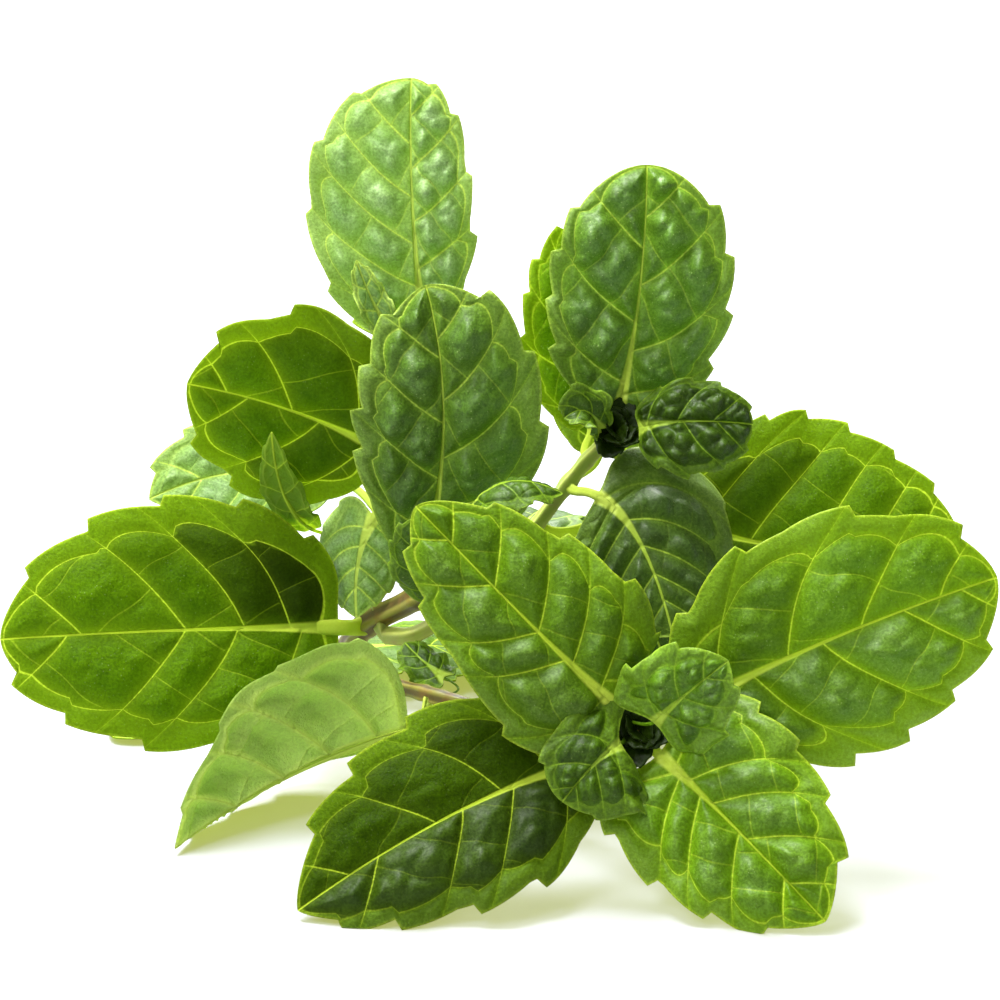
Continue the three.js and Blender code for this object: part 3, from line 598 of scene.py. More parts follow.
def smooth_margin(blade, side):
    """The margin without its teeth, base to tip: along, out, and the length measured along it."""
    leaf = blade.leaf
    u = (1 - np.cos(np.pi * np.linspace(0.001, 0.999, MARGIN_STEPS))) / 2
    inset = TOOTH_INSET * leaf["tooth"]
    out = (for_half(leaf["half"], side) - inset) * blade.width_share(u)
    lobe, spread = leaf["lobe"]
    along = np.interp(u, blade.u, blade.measured) - lobe * (u / spread) * np.exp(1 - u / spread)
    along = along - inset * smoothstep(0.8, 1, u)
    measured = np.concatenate([[0], np.cumsum(np.hypot(np.diff(along), np.diff(out)))])
    return along, out, measured


def tooth_places(leaf, side, length):
    """Lengths along the margin of the tooth tips."""
    rng = np.random.default_rng(name_seed(leaf["name"]) + side)
    if "teeth" in leaf:
        shares = np.array(leaf["teeth"][side])
    else:
        count = 5 if leaf["detail"] == "plain" else 4
        shares = np.linspace(0.3, 0.88, count) + rng.uniform(-0.02, 0.02, count)
    return shares * length


def toothed_margin(blade, side, rows):
    """The margin in rows + 1 places: the smooth one, and how far the teeth move it."""
    leaf = blade.leaf
    along, out, measured = smooth_margin(blade, side)
    length = measured[-1]
    tips = tooth_places(leaf, side, length)
    scale = length / TOOTH_MARGIN
    notches = tips + NOTCH_RUN * min(1.0, scale)
    lengths = np.linspace(0, length, rows + 1)
    for mark in np.concatenate([tips, notches]):
        nearest = 1 + np.argmin(np.abs(lengths[1:-1] - mark))
        lengths[nearest] = mark
    lengths = np.sort(lengths)
    rng = np.random.default_rng(name_seed(leaf["name"]) + 5 + side)
    lift = np.zeros_like(lengths)
    hook = np.zeros_like(lengths)
    last_notch = 0.0
    for tip, notch in zip(tips, notches):
        depth = leaf["tooth"] * rng.uniform(0.8, 1.15)
        begin = max(last_notch, tip - TOOTH_RUN * scale)
        rise = np.clip((lengths - begin) / (tip - begin), 0, 1)
        fall = np.clip((notch - lengths) / (notch - tip), 0, 1)
        on = (lengths > begin) & (lengths < notch)
        shape = np.where(lengths <= tip, 0.5 * rise + 0.5 * np.sin(math.pi / 2 * rise), fall)
        lift = np.where(on, depth * shape, lift)
        hook = np.where(on, depth * TOOTH_HOOK * np.where(lengths <= tip, rise ** 4, fall), hook)
        last_notch = notch
    place = np.stack([np.interp(lengths, measured, along), np.interp(lengths, measured, out)], -1)
    tangent = unit(np.stack([np.interp(lengths, measured, np.gradient(along, measured)),
                             np.interp(lengths, measured, np.gradient(out, measured))], -1))
    outward = np.stack([-tangent[:, 1], tangent[:, 0]], -1)
    return place, outward * lift[:, None] + tangent * hook[:, None]


def margin_distance(along, out, edge):
    """Distance in mm from flat places to the nearest piece of the margin."""
    a, b = edge[:-1], edge[1:]
    run = b - a
    square = np.maximum((run ** 2).sum(1), 1e-9)
    flat = np.stack([along.ravel(), out.ravel()], -1)
    best = np.full(len(flat), FAR)
    for start in range(0, len(flat), PLACES_AT_A_TIME):
        part = flat[start:start + PLACES_AT_A_TIME, None] - a
        t = np.clip((part * run).sum(-1) / square, 0, 1)
        gap = part - run * t[..., None]
        best[start:start + PLACES_AT_A_TIME] = np.sqrt((gap ** 2).sum(-1)).min(1)
    return best.reshape(along.shape)


# ---------------------------------------------------------------- veins

def nearest_line(value, marks):
    """How far value is past the mark before it, the space to the next mark, and that mark's number."""
    number = np.clip(np.searchsorted(marks, value, side="right") - 1, 0, len(marks) - 2)
    before = marks[number]
    space = marks[number + 1] - before
    return value - before, space, number


def alternating(number):
    return np.where(number % 2 == 0, 1, -1)


def vein_shares(leaf, side):
    """Where the side veins leave the midrib, as shares of the blade's length."""
    if "veins" in leaf:
        return np.array(leaf["veins"][side])
    rng = np.random.default_rng(name_seed(leaf["name"]) + 11 + side)
    shares = np.array(leaf["side_veins"])
    return shares + rng.uniform(-0.02, 0.02, len(shares)) + 0.03 * side


def cross_veins(leaf, side, strip, foot, stretch, strips, seed):
    """Signed distances to the veins that cross the strips between side veins, and each panel's own number."""
    half = for_half(leaf["half"], side)
    cross = np.zeros_like(foot)
    panel = np.zeros_like(foot)
    rng = np.random.default_rng(seed)
    step = half * leaf["cross"]
    for number in range(strips):
        ticks = np.concatenate([[-3 * half], np.cumsum(rng.uniform(0.75, 1.3, 14)) * step - step * 0.4])
        here = strip == number
        gone, space, cell = nearest_line(foot[here], ticks)
        cross[here] = np.minimum(gone, space - gone) * stretch[here] * alternating(cell)
        panel[here] = number * PANEL_STEP + cell
    return cross, panel


def vein_fields(blade, side, along, out, margin, local_half):
    """Signed distances in mm to the side veins, cross veins and closing loops, each panel's own number, and
    the distance to the borders of the small cells.

    The sign of a distance changes at its vein, so that the vein stays sharp between the mesh's points.
    """
    leaf = blade.leaf
    half = for_half(leaf["half"], side)
    seed = name_seed(leaf["name"]) + 31 * side
    wander = half * VEIN_WANDER
    x = along + wander * plain_noise(seed, half * 1.3)(along, out)
    y = out + wander * plain_noise(seed + 1, half * 1.3)(along, out) * smoothstep(0, 2, out)
    rise = np.clip(y, 0, None)

    # Where along the midrib the side vein through a place would leave it, and how steeply it runs there.
    fan = 1 - VEIN_FAN * rise / blade.length
    lean = VEIN_LEAN + VEIN_FAN * x / blade.length + 2 * VEIN_BEND * rise / half
    start = x * fan - VEIN_LEAN * y - VEIN_BEND * rise ** 2 / half
    stretch = np.hypot(fan, lean)

    # The strip between two side veins that holds the place, and its distance to both.
    veins = vein_shares(leaf, side) * blade.length
    strip = np.searchsorted(veins, start)
    ends = np.concatenate([[veins[0] - BASAL_STRIP * blade.length], veins, [blade.length]])
    past = start - ends[strip]
    ahead = ends[strip + 1] - start
    behind_gap = np.where(strip > 0, past, NO_STRIP_END)
    ahead_gap = np.where(strip < len(veins), ahead, NO_STRIP_END)
    side_vein = np.minimum(behind_gap, ahead_gap) / stretch * alternating(strip)

    # The loop that closes the strip arches towards the margin between its two veins.
    share = np.clip(past / (past + ahead), 0, 1) ** 0.9
    near, far = leaf["loops"]
    arch = (4 * share * (1 - share)) ** 0.9
    loop = margin - half * (far - (far - near) * arch) * np.clip(local_half / half, 0.12, 1)

    # How far out along its strip the place is.
    foot = y + lean * past / (1 + lean ** 2)
    foot = foot + 0.02 * half * plain_noise(seed + 2, half * 0.5)(along, out)
    cross, panel = cross_veins(leaf, side, strip, foot, stretch, len(veins) + 1, seed)
    small = honeycomb(start * 0.8 + 40, foot + 40, leaf["cell"], seed)
    return side_vein, cross, loop, panel, small


def dome(distance, reach):
    share = np.clip(distance / reach, 0, 1)
    return 1 - (1 - share) ** 2


def quilting(leaf, side, out, side_vein, cross, loop, small):
    """0 on the veins to 1 on the crown of a panel, without and with the small cells' swelling."""
    reach = for_half(leaf["half"], side) * leaf["rise"]
    edge = np.minimum(np.abs(side_vein), np.abs(loop))
    edge = np.minimum(edge, out * 0.85)
    between = dome(np.abs(cross), reach * 0.9)
    swelling = dome(small, leaf["cell"] * 0.42)
    pressed = leaf["dimples"] * (1 - between) * (loop > 0)
    panel = dome(edge, reach) * (1 - pressed)
    return panel, panel * (1 - leaf["swell"] * (1 - swelling))


def bump_at(distance, height, half_width):
    """A rounded ridge along a line."""
    return height * np.exp(-(distance / half_width) ** 2)


# ---------------------------------------------------------------- meshes

def sheet_faces(rows, columns, start, flip):
    """Four-cornered faces over a grid of points."""
    i, j = np.meshgrid(np.arange(rows - 1), np.arange(columns - 1), indexing="ij")
    a = start + i * columns + j
    faces = np.stack([a, a + 1, a + columns + 1, a + columns], -1).reshape(-1, 4)
    return faces[:, ::-1] if flip else faces


def band_faces(first, second):
    """Faces between two runs of point numbers."""
    return np.stack([first[:-1], first[1:], second[1:], second[:-1]], -1)


def tube(middle, up, right, profile_across, profile_up):
    """Points of a tube: its rings lie in the plane of right and up."""
    return (middle[:, None] + right[:, None] * profile_across[..., None]
            + up[:, None] * profile_up[..., None])


def tube_faces(rings, sides, start):
    i, j = np.meshgrid(np.arange(rings - 1), np.arange(sides), indexing="ij")
    a = start + i * sides + j
    b = start + i * sides + (j + 1) % sides
    return np.stack([a, b, b + sides, a + sides], -1).reshape(-1, 4)[:, ::-1]


def spread_over(shape, *values):
    """Three painted values for every point of a grid."""
    return np.stack([np.broadcast_to(value, shape) for value in values], -1)


class Body:
    """Points, faces and painted values that are gathered into one mesh."""

    def __init__(self):
        self.points = []
        self.values = {}
        self.quads = []
        self.fans = []
        self.count = 0

    def add(self, points, **values):
        start = self.count
        points = np.asarray(points, float).reshape(-1, 3)
        self.points.append(points)
        for name, value in values.items():
            value = np.asarray(value, float)
            value = np.broadcast_to(value, (len(points), 3)) if value.ndim == 1 else value.reshape(-1, 3)
            self.values.setdefault(name, []).append(value)
        self.count += len(points)
        return start

    def object(self, name, material):
        mesh = bpy.data.meshes.new(name)
        points = np.vstack(self.points) + SPRIG_OFFSET
        points[:, 2] = np.maximum(points[:, 2], TABLE_GAP)
        points = points * MM
        quads = np.vstack(self.quads).astype(np.int32)
        fans = [np.asarray(fan, np.int32) for fan in self.fans]
        corners = np.concatenate([quads.ravel()] + fans)
        sizes = np.concatenate([np.full(len(quads), 4)] + [[len(fan)] for fan in fans]).astype(np.int32)
        starts = np.concatenate([[0], np.cumsum(sizes)[:-1]]).astype(np.int32)
        mesh.vertices.add(len(points))
        mesh.vertices.foreach_set("co", points.ravel())
        mesh.loops.add(len(corners))
        mesh.loops.foreach_set("vertex_index", corners)
        mesh.polygons.add(len(sizes))
        mesh.polygons.foreach_set("loop_start", starts)
        mesh.update(calc_edges=True)
        for value_name, parts in self.values.items():
            attribute = mesh.attributes.new(value_name, "FLOAT_VECTOR", "POINT")
            attribute.data.foreach_set("vector", np.vstack(parts).astype(np.float32).ravel())
        mesh.polygons.foreach_set("use_smooth", np.ones(len(sizes), bool))
        mesh.materials.append(material)
        mesh.validate()
        piece = bpy.data.objects.new(name, mesh)
        bpy.context.scene.collection.objects.link(piece)
        return piece


# ---------------------------------------------------------------- leaves

def flat_half(blade, side, rows, columns, midrib):
    """One half's flat places, midrib to margin: along, out, how far they are from the margin and from the
    margin without teeth, how far out their row ends, and the columns' places as shares."""
    margin, move = toothed_margin(blade, side, rows)
    column = np.linspace(0, 1, columns + 1)
    column = EVEN_COLUMNS * column + (1 - EVEN_COLUMNS) * (1 - np.cos(np.pi * column)) / 2
    moved = smoothstep(0.55, 1, column)
    smooth_along = midrib[:, None] + (margin[:, :1] - midrib[:, None]) * column
    smooth_out = margin[:, 1:] * column
    along = smooth_along + move[:, :1] * moved
    out = np.maximum(smooth_out + move[:, 1:] * moved, 0)
    to_margin = margin_distance(along, out, margin + move)
    to_margin[:, -1] = 0
    to_smooth = margin_distance(smooth_along, smooth_out, margin)
    return along, out, to_margin, to_smooth, np.broadcast_to(margin[:, 1:], along.shape), column


def vein_ridges(leaf, scale, side_vein, cross, loop):
    """How far the veins stand out from the underside."""
    ridge = bump_at(side_vein, leaf["ridge"] * scale, VEIN_HALF_WIDTH) * (loop > -0.3)
    ridge = np.maximum(ridge, bump_at(loop, LOOP_RIDGE[0] * scale, LOOP_RIDGE[1]))
    return np.maximum(ridge, bump_at(cross, CROSS_RIDGE[0] * scale, CROSS_RIDGE[1]) * (loop > 0))


def leaf_tone(blade, side, share, out, panel, inside):
    """How much lighter each place is: the leaf's own tone, with painted shade on the panels next to its base,
    which lightens them instead where that value is above 0.
    """
    leaf = blade.leaf
    begun = np.concatenate([[0], vein_shares(leaf, side)])[(panel // PANEL_STEP).astype(int)]
    by_panel = (1 - smoothstep(0.1, 0.35, begun)) * inside
    near_base = 0.7 * by_panel + 0.3 * (1 - smoothstep(0.18, 0.42, share)) * smoothstep(0.5, 2.5, out)
    return leaf["tone"] + for_half(leaf["base_painted_shade"], side) * near_base


def leaf_half(blade, side, rows, columns, midrib):
    """One half of a blade as grids, midrib to margin: points, normals, how high the skin lies over them, the
    ridges on the underside, how thick each column is, and the painted values."""
    leaf = blade.leaf
    along, out, to_margin, to_smooth, local_half, column = flat_half(blade, side, rows, columns, midrib)
    side_vein, cross, loop, panel, small = vein_fields(blade, side, along, out, to_smooth, local_half)
    pillow, swollen = quilting(leaf, side, out, side_vein, cross, loop, small)
    scale = for_half(leaf["half"], side) / USUAL_HALF_WIDTH
    inside = loop > 0
    seed = name_seed(leaf["name"]) + 50 + side
    wild = scattered(panel * 12.9898 + seed)
    calm = smoothstep(0, 2.2 * scale, to_margin) * np.where(inside, 1.0, 0.45)
    height = for_half(leaf["quilt"], side) * swollen * (0.75 + 0.5 * wild) * calm
    wave_height, wave_length = PANEL_WAVE
    uneven = wave_height * plain_noise(seed + 3, wave_length)(along, out)
    height = height + uneven * pillow * calm * min(1, scale)
    share = np.clip(along / blade.length, 0, 1)
    rest = 1 - share
    height = height + bump_at(out, MIDRIB_RIDGE * scale * rest ** 2, 0.35 + 0.6 * rest)
    ridge = vein_ridges(leaf, scale, side_vein, cross, loop) * smoothstep(0, 0.8, to_margin)
    veins = np.stack([side_vein, np.where(inside, cross, 3.0), loop], -1)
    place = np.stack([-out if side == 0 else out, to_margin, share], -1)
    if leaf["detail"] == "bud":
        veins = np.full_like(veins, NO_VEIN)
        place[..., :2] = NO_VEIN
    tone = leaf_tone(blade, side, share, out, panel, inside)
    values = dict(
        veins=veins,
        place=place,
        skin=spread_over(out.shape, 1.0, wild, pillow),
        tint=spread_over(out.shape, tone, for_half(leaf["gloss_and_painted_sheen"], side), leaf["lines"]),
    )
    thin = smoothstep(0, 0.05, 1 - column) * (1 - RIM_THICKNESS_SHARE) + RIM_THICKNESS_SHARE
    points, normal = blade.place(along, out, side)
    return points, normal, height, ridge, thin, values


def midrib_places(blade, rows):
    """Lengths along the midrib where the mesh rows start, each behind its place on the margin."""
    raw = np.mean([margin[:, 0] - ROW_SLANT * margin[:, 1]
                   for margin, _ in (toothed_margin(blade, side, rows) for side in (0, 1))], 0)
    share = np.linspace(0, 1, rows + 1)
    midrib = np.maximum.accumulate(np.maximum(raw, LOWEST_MIDRIB * blade.length * share))
    return np.minimum(midrib, blade.length * (1 - 0.003 * (1 - share)))


def add_leaf(body, leaf, stem):
    """A closed blade, with its petiole and the rib on its underside."""
    blade = Blade(leaf, stem)
    rows, columns = leaf["grid"]
    midrib = midrib_places(blade, rows)
    left = leaf_half(blade, 0, rows, columns, midrib)
    right = leaf_half(blade, 1, rows, columns, midrib)

    def joined(a, b):
        return np.concatenate([a[:, :0:-1], b], 1)

    points, normal, height, ridge = (joined(left[k], right[k]) for k in range(4))
    thin = np.concatenate([left[4][:0:-1], right[4]])
    values = {name: joined(left[5][name], right[5][name]) for name in left[5]}
    normal[:, columns] = unit(normal[:, columns - 1] + normal[:, columns + 1])
    thickness = BLADE_HALF_THICKNESS * thin[None, :] * np.ones_like(height)
    upper = points + normal * (height + thickness)[..., None]
    lower = points + normal * (height - thickness - ridge)[..., None]
    across = 2 * columns + 1
    top = body.add(upper, **values)
    bottom = body.add(lower, **dict(values, skin=values["skin"] * np.array([0, 1, 1])))
    body.quads.append(sheet_faces(rows + 1, across, top, False))
    body.quads.append(sheet_faces(rows + 1, across, bottom, True))
    left_rim = np.arange(rows + 1) * across
    right_rim = left_rim + across - 1
    base_rim = np.arange(across)
    tip_rim = base_rim + rows * across
    body.quads.append(band_faces(top + left_rim, bottom + left_rim))
    body.quads.append(band_faces(bottom + right_rim, top + right_rim))
    body.quads.append(band_faces(bottom + base_rim, top + base_rim))
    body.quads.append(band_faces(top + tip_rim, bottom + tip_rim))
    add_rib(body, blade)


def add_rib(body, blade):
    """The petiole, which runs on as the rib on the blade's underside and fades into its upper side."""
    leaf = blade.leaf
    width = for_half(leaf["half"], 0) + for_half(leaf["half"], 1)
    size = min(1.0, (width / FULL_RIB_WIDTH) ** 0.6) * leaf["rib"]
    t = np.linspace(0, 1, max(8, int(blade.petiole.length / PETIOLE_RING_STEP)), endpoint=False)
    u = np.linspace(0, RIB_REACH, RIB_STEPS)
    forward_base, up_base, _ = blade.frame(np.array(0.0))
    petiole_forward = blade.petiole.along(t)
    petiole_up = carried(np.broadcast_to(up_base, petiole_forward.shape),
                         np.broadcast_to(forward_base, petiole_forward.shape), petiole_forward)
    blade_forward, blade_up, _ = blade.frame(u)
    forward = np.vstack([petiole_forward, blade_forward])
    up = np.vstack([petiole_up, blade_up])
    right = np.cross(forward, up)
    flare = 1 + 0.35 * np.exp(-t * blade.petiole.length / 1.2)
    radius = np.concatenate([RIB_RADIUS * flare, RIB_RADIUS * (1 - u) ** 1.5 + RIB_END]) * size
    in_blade = np.concatenate([np.zeros_like(t), smoothstep(0, 0.4, u)])
    middle = np.vstack([blade.petiole.at(t), blade.middle(u)]) - up * (radius * 0.75 * in_blade)[:, None]
    angle = whole_turn(RIB_SIDES)
    groove = RIB_GROOVE * np.exp(-((angle - math.pi / 2) / 0.55) ** 2)
    flat = np.concatenate([np.ones_like(t), 1 - 0.35 * smoothstep(0, 0.12, u)])
    across = np.cos(angle)[None] * radius[:, None]
    height = (np.sin(angle)[None] - groove[None] * (1 - in_blade)[:, None]) * radius[:, None] * 0.86
    height = np.where(height > 0, height * flat[:, None], height)
    upper = np.where(np.sin(angle) > -0.1, 1.0, 0.0)
    count = len(middle)
    shape = (count, RIB_SIDES)
    share = np.concatenate([np.zeros_like(t), u])[:, None]
    start = body.add(
        tube(middle, up, right, across, height),
        veins=np.full(3, NO_VEIN),
        place=spread_over(shape, 0.0 if leaf["rib"] > 0.9 else NO_VEIN, NO_VEIN, share),
        skin=spread_over(shape, upper, 0.5, 0.0),
        tint=np.array([leaf["tone"], 0.0, 1.0]),
    )
    body.quads.append(tube_faces(count, RIB_SIDES, start))
    body.fans.append(start + np.arange(RIB_SIDES))
    body.fans.append(start + (count - 1) * RIB_SIDES + np.arange(RIB_SIDES)[::-1])


# ---------------------------------------------------------------- stems' meshes

def stem_object(stem, stems, material):
    """A square stem with a groove in each side, thicker at its leaves and cut or joined at its foot."""
    line = stem["line"]
    if "parent" in stem:
        heart = stems[stem["parent"]]["line"].at(stem["at"])
        line = Line(np.vstack([heart + (line.points[0] - heart) * 0.25, line.points]))
    steps = int(line.length / STEM_STEP)
    share = np.linspace(0, 1, steps + 1)
    middle = line.at(share)
    forward = line.along(share)
    up = [square_to(forward[0], (0.2, -0.3, 1))]
    for before, after in zip(forward[:-1], forward[1:]):
        up.append(carried(up[-1], before, after))
    up = np.array(up)
    right = np.cross(forward, up)
    where = share * line.length
    swell = np.ones_like(share)
    for leaf in LEAVES:
        if leaf["stem"] == stem["name"]:
            swell += NODE_SWELL * np.exp(-((where - leaf["at"] * line.length) / 1.1) ** 2)
    tip = smoothstep(0, 2.5, line.length - where) * 0.5 + 0.5
    angle = whole_turn(STEM_SIDES)
    corner = np.cos(4 * (angle - math.pi / 4))
    outline = 1.06 + 0.15 * corner + 0.035 * np.cos(8 * (angle - math.pi / 4))
    rough = plain_noise(name_seed(stem["name"]), 5.0)
    uneven = 1 + 0.03 * rough(where[:, None], angle[None] * 2.0)
    radius = (half_at(stem, share) * swell * tip)[:, None] * outline[None] * uneven
    rings = tube(middle, up, right, np.cos(angle)[None] * radius, np.sin(angle)[None] * radius)
    body = Body()
    start = body.add(rings, stalk=spread_over((steps + 1, STEM_SIDES), corner, share[:, None], 1.0))
    body.quads.append(tube_faces(steps + 1, STEM_SIDES, start))
    ring = start + np.arange(STEM_SIDES)
    for scale, dip in CUT_RINGS:
        points = middle[0] + (rings[0] - middle[0]) * scale + forward[0] * dip
        values = spread_over(corner.shape, corner, 0.0, scale - 1)
        inner = body.add(points, stalk=values) + np.arange(STEM_SIDES)
        body.quads.append(band_faces(np.append(ring, ring[0]), np.append(inner, inner[0])))
        ring = inner
    body.fans.append(ring)
    body.fans.append(start + steps * STEM_SIDES + np.arange(STEM_SIDES)[::-1])
    finish_piece(body.object(stem["name"] + "_grown", material), stem["name"])


# ---------------------------------------------------------------- buds

def bud_object(bud, stem, material):
    """Crossed pairs of small cupped leaves that close over the shoot's end."""
    body = Body()
    end = stem["line"].at(1.0)
    axis = unit(np.array(bud["axis"], float)) if "axis" in bud else stem["line"].along(1.0)
    first = square_to(axis, (0.3, -1, 0.4))
    second = np.cross(axis, first)
    size = bud["length"] / 4.5
    for number, (length, spread, width, turn) in enumerate(BUD_PAIRS):
        spread = spread * bud.get("spread", 0.6)
        for way in (1, -1):
            sideways = (first * math.cos(turn * math.pi) + second * math.sin(turn * math.pi)) * way
            reach = 5.2 * size * length
            rise = 1 - 0.55 * spread
            base = end + axis * 0.3 * number + sideways * 0.3 * size
            middle = base + axis * reach * 0.5 * rise + sideways * reach * spread * 0.42
            tip = base + axis * reach * 0.8 * rise + sideways * reach * spread * 0.9
            leaf = dict(BUD_LEAF, name=f"{bud['name']}_{number}_{way}", base=base, mid=middle, tip=tip,
                        face=axis - sideways * 0.4, half=2.6 * size * width)
            add_leaf(body, full_row(leaf), stem)
    finish_piece(body.object(bud["name"] + "_grown", material), bud["name"])


def finish_piece(piece, node):
    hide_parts(node)
    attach(piece, "root")


# ---------------------------------------------------------------- shader nodes

def maths(operation, turned=False):
    """A sign between two values that places the shader node for it."""
    def place(value, other):
        first, second = (other, value) if turned else (value, other)
        return value.nodes.math(operation, first, second)
    return place


class Value:
    """A shader value that ordinary signs add, multiply and so on."""

    def __init__(self, nodes, socket):
        self.nodes = nodes
        self.socket = socket

    __add__ = __radd__ = maths("ADD")
    __mul__ = __rmul__ = maths("MULTIPLY")
    __sub__ = maths("SUBTRACT")
    __rsub__ = maths("SUBTRACT", turned=True)
    __truediv__ = maths("DIVIDE")
    __pow__ = maths("POWER")

    def __abs__(self):
        return self.nodes.math("ABSOLUTE", self, 0.0)

    def clamped(self):
        """The same sum, kept between 0 and 1."""
        self.socket.node.use_clamp = True
        return self


class Nodes:
    """Short ways to place and join shader nodes in one tree."""

    def __init__(self, tree):
        self.tree = tree

    def add(self, kind, sockets=None, **settings):
        """A node with its settings, and its sockets, by name or number, joined or set to a constant."""
        node = self.tree.nodes.new(kind)
        for name, value in settings.items():
            setattr(node, name, value)
        for key, value in (sockets or {}).items():
            socket = node.inputs[key]
            value = value.socket if isinstance(value, Value) else value
            if isinstance(value, bpy.types.NodeSocket):
                self.tree.links.new(value, socket)
            elif socket.type == "RGBA":
                socket.default_value = (*value, 1.0)
            else:
                socket.default_value = value
        return node

    def read(self, node, *names):
        return [Value(self, node.outputs[name]) for name in names]

    def math(self, operation, a, b):
        return self.read(self.add("ShaderNodeMath", {0: a, 1: b}, operation=operation), 0)[0]

    def larger(self, a, b):
        return self.math("MAXIMUM", a, b)

    def smaller(self, a, b):
        return self.math("MINIMUM", a, b)

    def ramp(self, value, low, high, to_low=0.0, to_high=1.0):
        """A smooth change from to_low at low to to_high at high."""
        node = self.add("ShaderNodeMapRange", {"Value": value, "From Min": low, "From Max": high,
                                               "To Min": to_low, "To Max": to_high},
                        interpolation_type="SMOOTHSTEP")
        return self.read(node, "Result")[0]

    def mix(self, share, a, b):
        node = self.add("ShaderNodeMix", {0: share, 6: a, 7: b}, data_type="RGBA", clamp_factor=True)
        return self.read(node, 2)[0]

    def brightened(self, colour, times):
        return self.read(self.add("ShaderNodeHueSaturation", {"Color": colour, "Value": times}), 0)[0]

    def where(self):
        """The place on the object, in metres."""
        return self.read(self.add("ShaderNodeTexCoord"), "Object")[0]

    def split(self, vector):
        return self.read(self.add("ShaderNodeSeparateXYZ", {"Vector": vector}), 0, 1, 2)

    def painted(self, name):
        """The three values that a mesh carries under this name."""
        node = self.add("ShaderNodeAttribute", attribute_name=name, attribute_type="GEOMETRY")
        return self.split(node.outputs["Vector"])

    def noise(self, where, scale, detail, roughness):
        node = self.add("ShaderNodeTexNoise", {"Vector": where, "Scale": scale, "Detail": detail,
                                               "Roughness": roughness})
        return self.read(node, "Fac")[0]

    def cells(self, where, scale, feature):
        node = self.add("ShaderNodeTexVoronoi", {"Vector": where, "Scale": scale}, feature=feature)
        return self.read(node, "Distance")[0]

    def bump(self, height):
        return self.add("ShaderNodeBump", {"Height": height, "Strength": 0.9, "Distance": MM}).outputs[0]


def new_group(name, inputs, colours=(), values=()):
    """A shader node group's nodes and what it is given. An input with three numbers is a colour."""
    group = bpy.data.node_groups.new(name, "ShaderNodeTree")
    for socket_name, usual in inputs.items():
        is_colour = isinstance(usual, tuple)
        kind = "NodeSocketColor" if is_colour else "NodeSocketFloat"
        socket = group.interface.new_socket(name=socket_name, in_out="INPUT", socket_type=kind)
        socket.default_value = (*usual, 1.0) if is_colour else usual
    for socket_names, kind in ((colours, "NodeSocketColor"), (values, "NodeSocketFloat")):
        for socket_name in socket_names:
            group.interface.new_socket(name=socket_name, in_out="OUTPUT", socket_type=kind)
    nodes = Nodes(group)
    given = nodes.add("NodeGroupInput")
    return nodes, {socket_name: nodes.read(given, socket_name)[0] for socket_name in inputs}


# ---------------------------------------------------------------- what the leaves share

def line_mask(nodes, distance, width):
    """1 on a vein and 0 beyond its edge."""
    return nodes.ramp(abs(distance), width * 0.45, width * 1.35, 1.0, 0.0)


def leaf_veins_group():
    """Where the veins lie, how they press into the skin, and how far a place is inside the loops."""
    nodes, given = new_group("leaf_veins", {"Vein Width": 0.1}, values=("Vein", "Rib", "Crease", "Inside"))
    side_vein, cross, loop = nodes.painted("veins")
    across, _, along = nodes.painted("place")
    _, _, lined = nodes.painted("tint")
    away = abs(across)
    rib = nodes.ramp(away / ((1 - along) ** 4.0 + 0.16), 0.6, 1.25, 1.0, 0.0)
    width = given["Vein Width"] * nodes.ramp(away, 0.0, 14.0, 1.4, 0.7)
    faded = 1 - nodes.ramp(away, 1.0, 11.0, 0.0, 0.7) * (1 - lined)
    beyond_loop = nodes.ramp(loop, -1.6, 0.2, 0.25, 1.0)
    on_side = line_mask(nodes, side_vein, width) * (beyond_loop * faded)
    on_loop = line_mask(nodes, loop, width * 0.9) * lined
    on_cross = line_mask(nodes, cross, width) * (lined * 0.26 + 0.08)
    nearest = nodes.smaller(nodes.smaller(abs(side_vein), abs(loop)), abs(cross) + 0.25)
    nodes.add("NodeGroupOutput", {
        "Vein": nodes.larger(nodes.larger(on_side, on_loop), on_cross),
        "Rib": rib,
        "Crease": nodes.ramp(nearest, 0.0, 0.6),
        "Inside": nodes.ramp(loop, -0.15, 0.15),
    })
    return nodes.tree


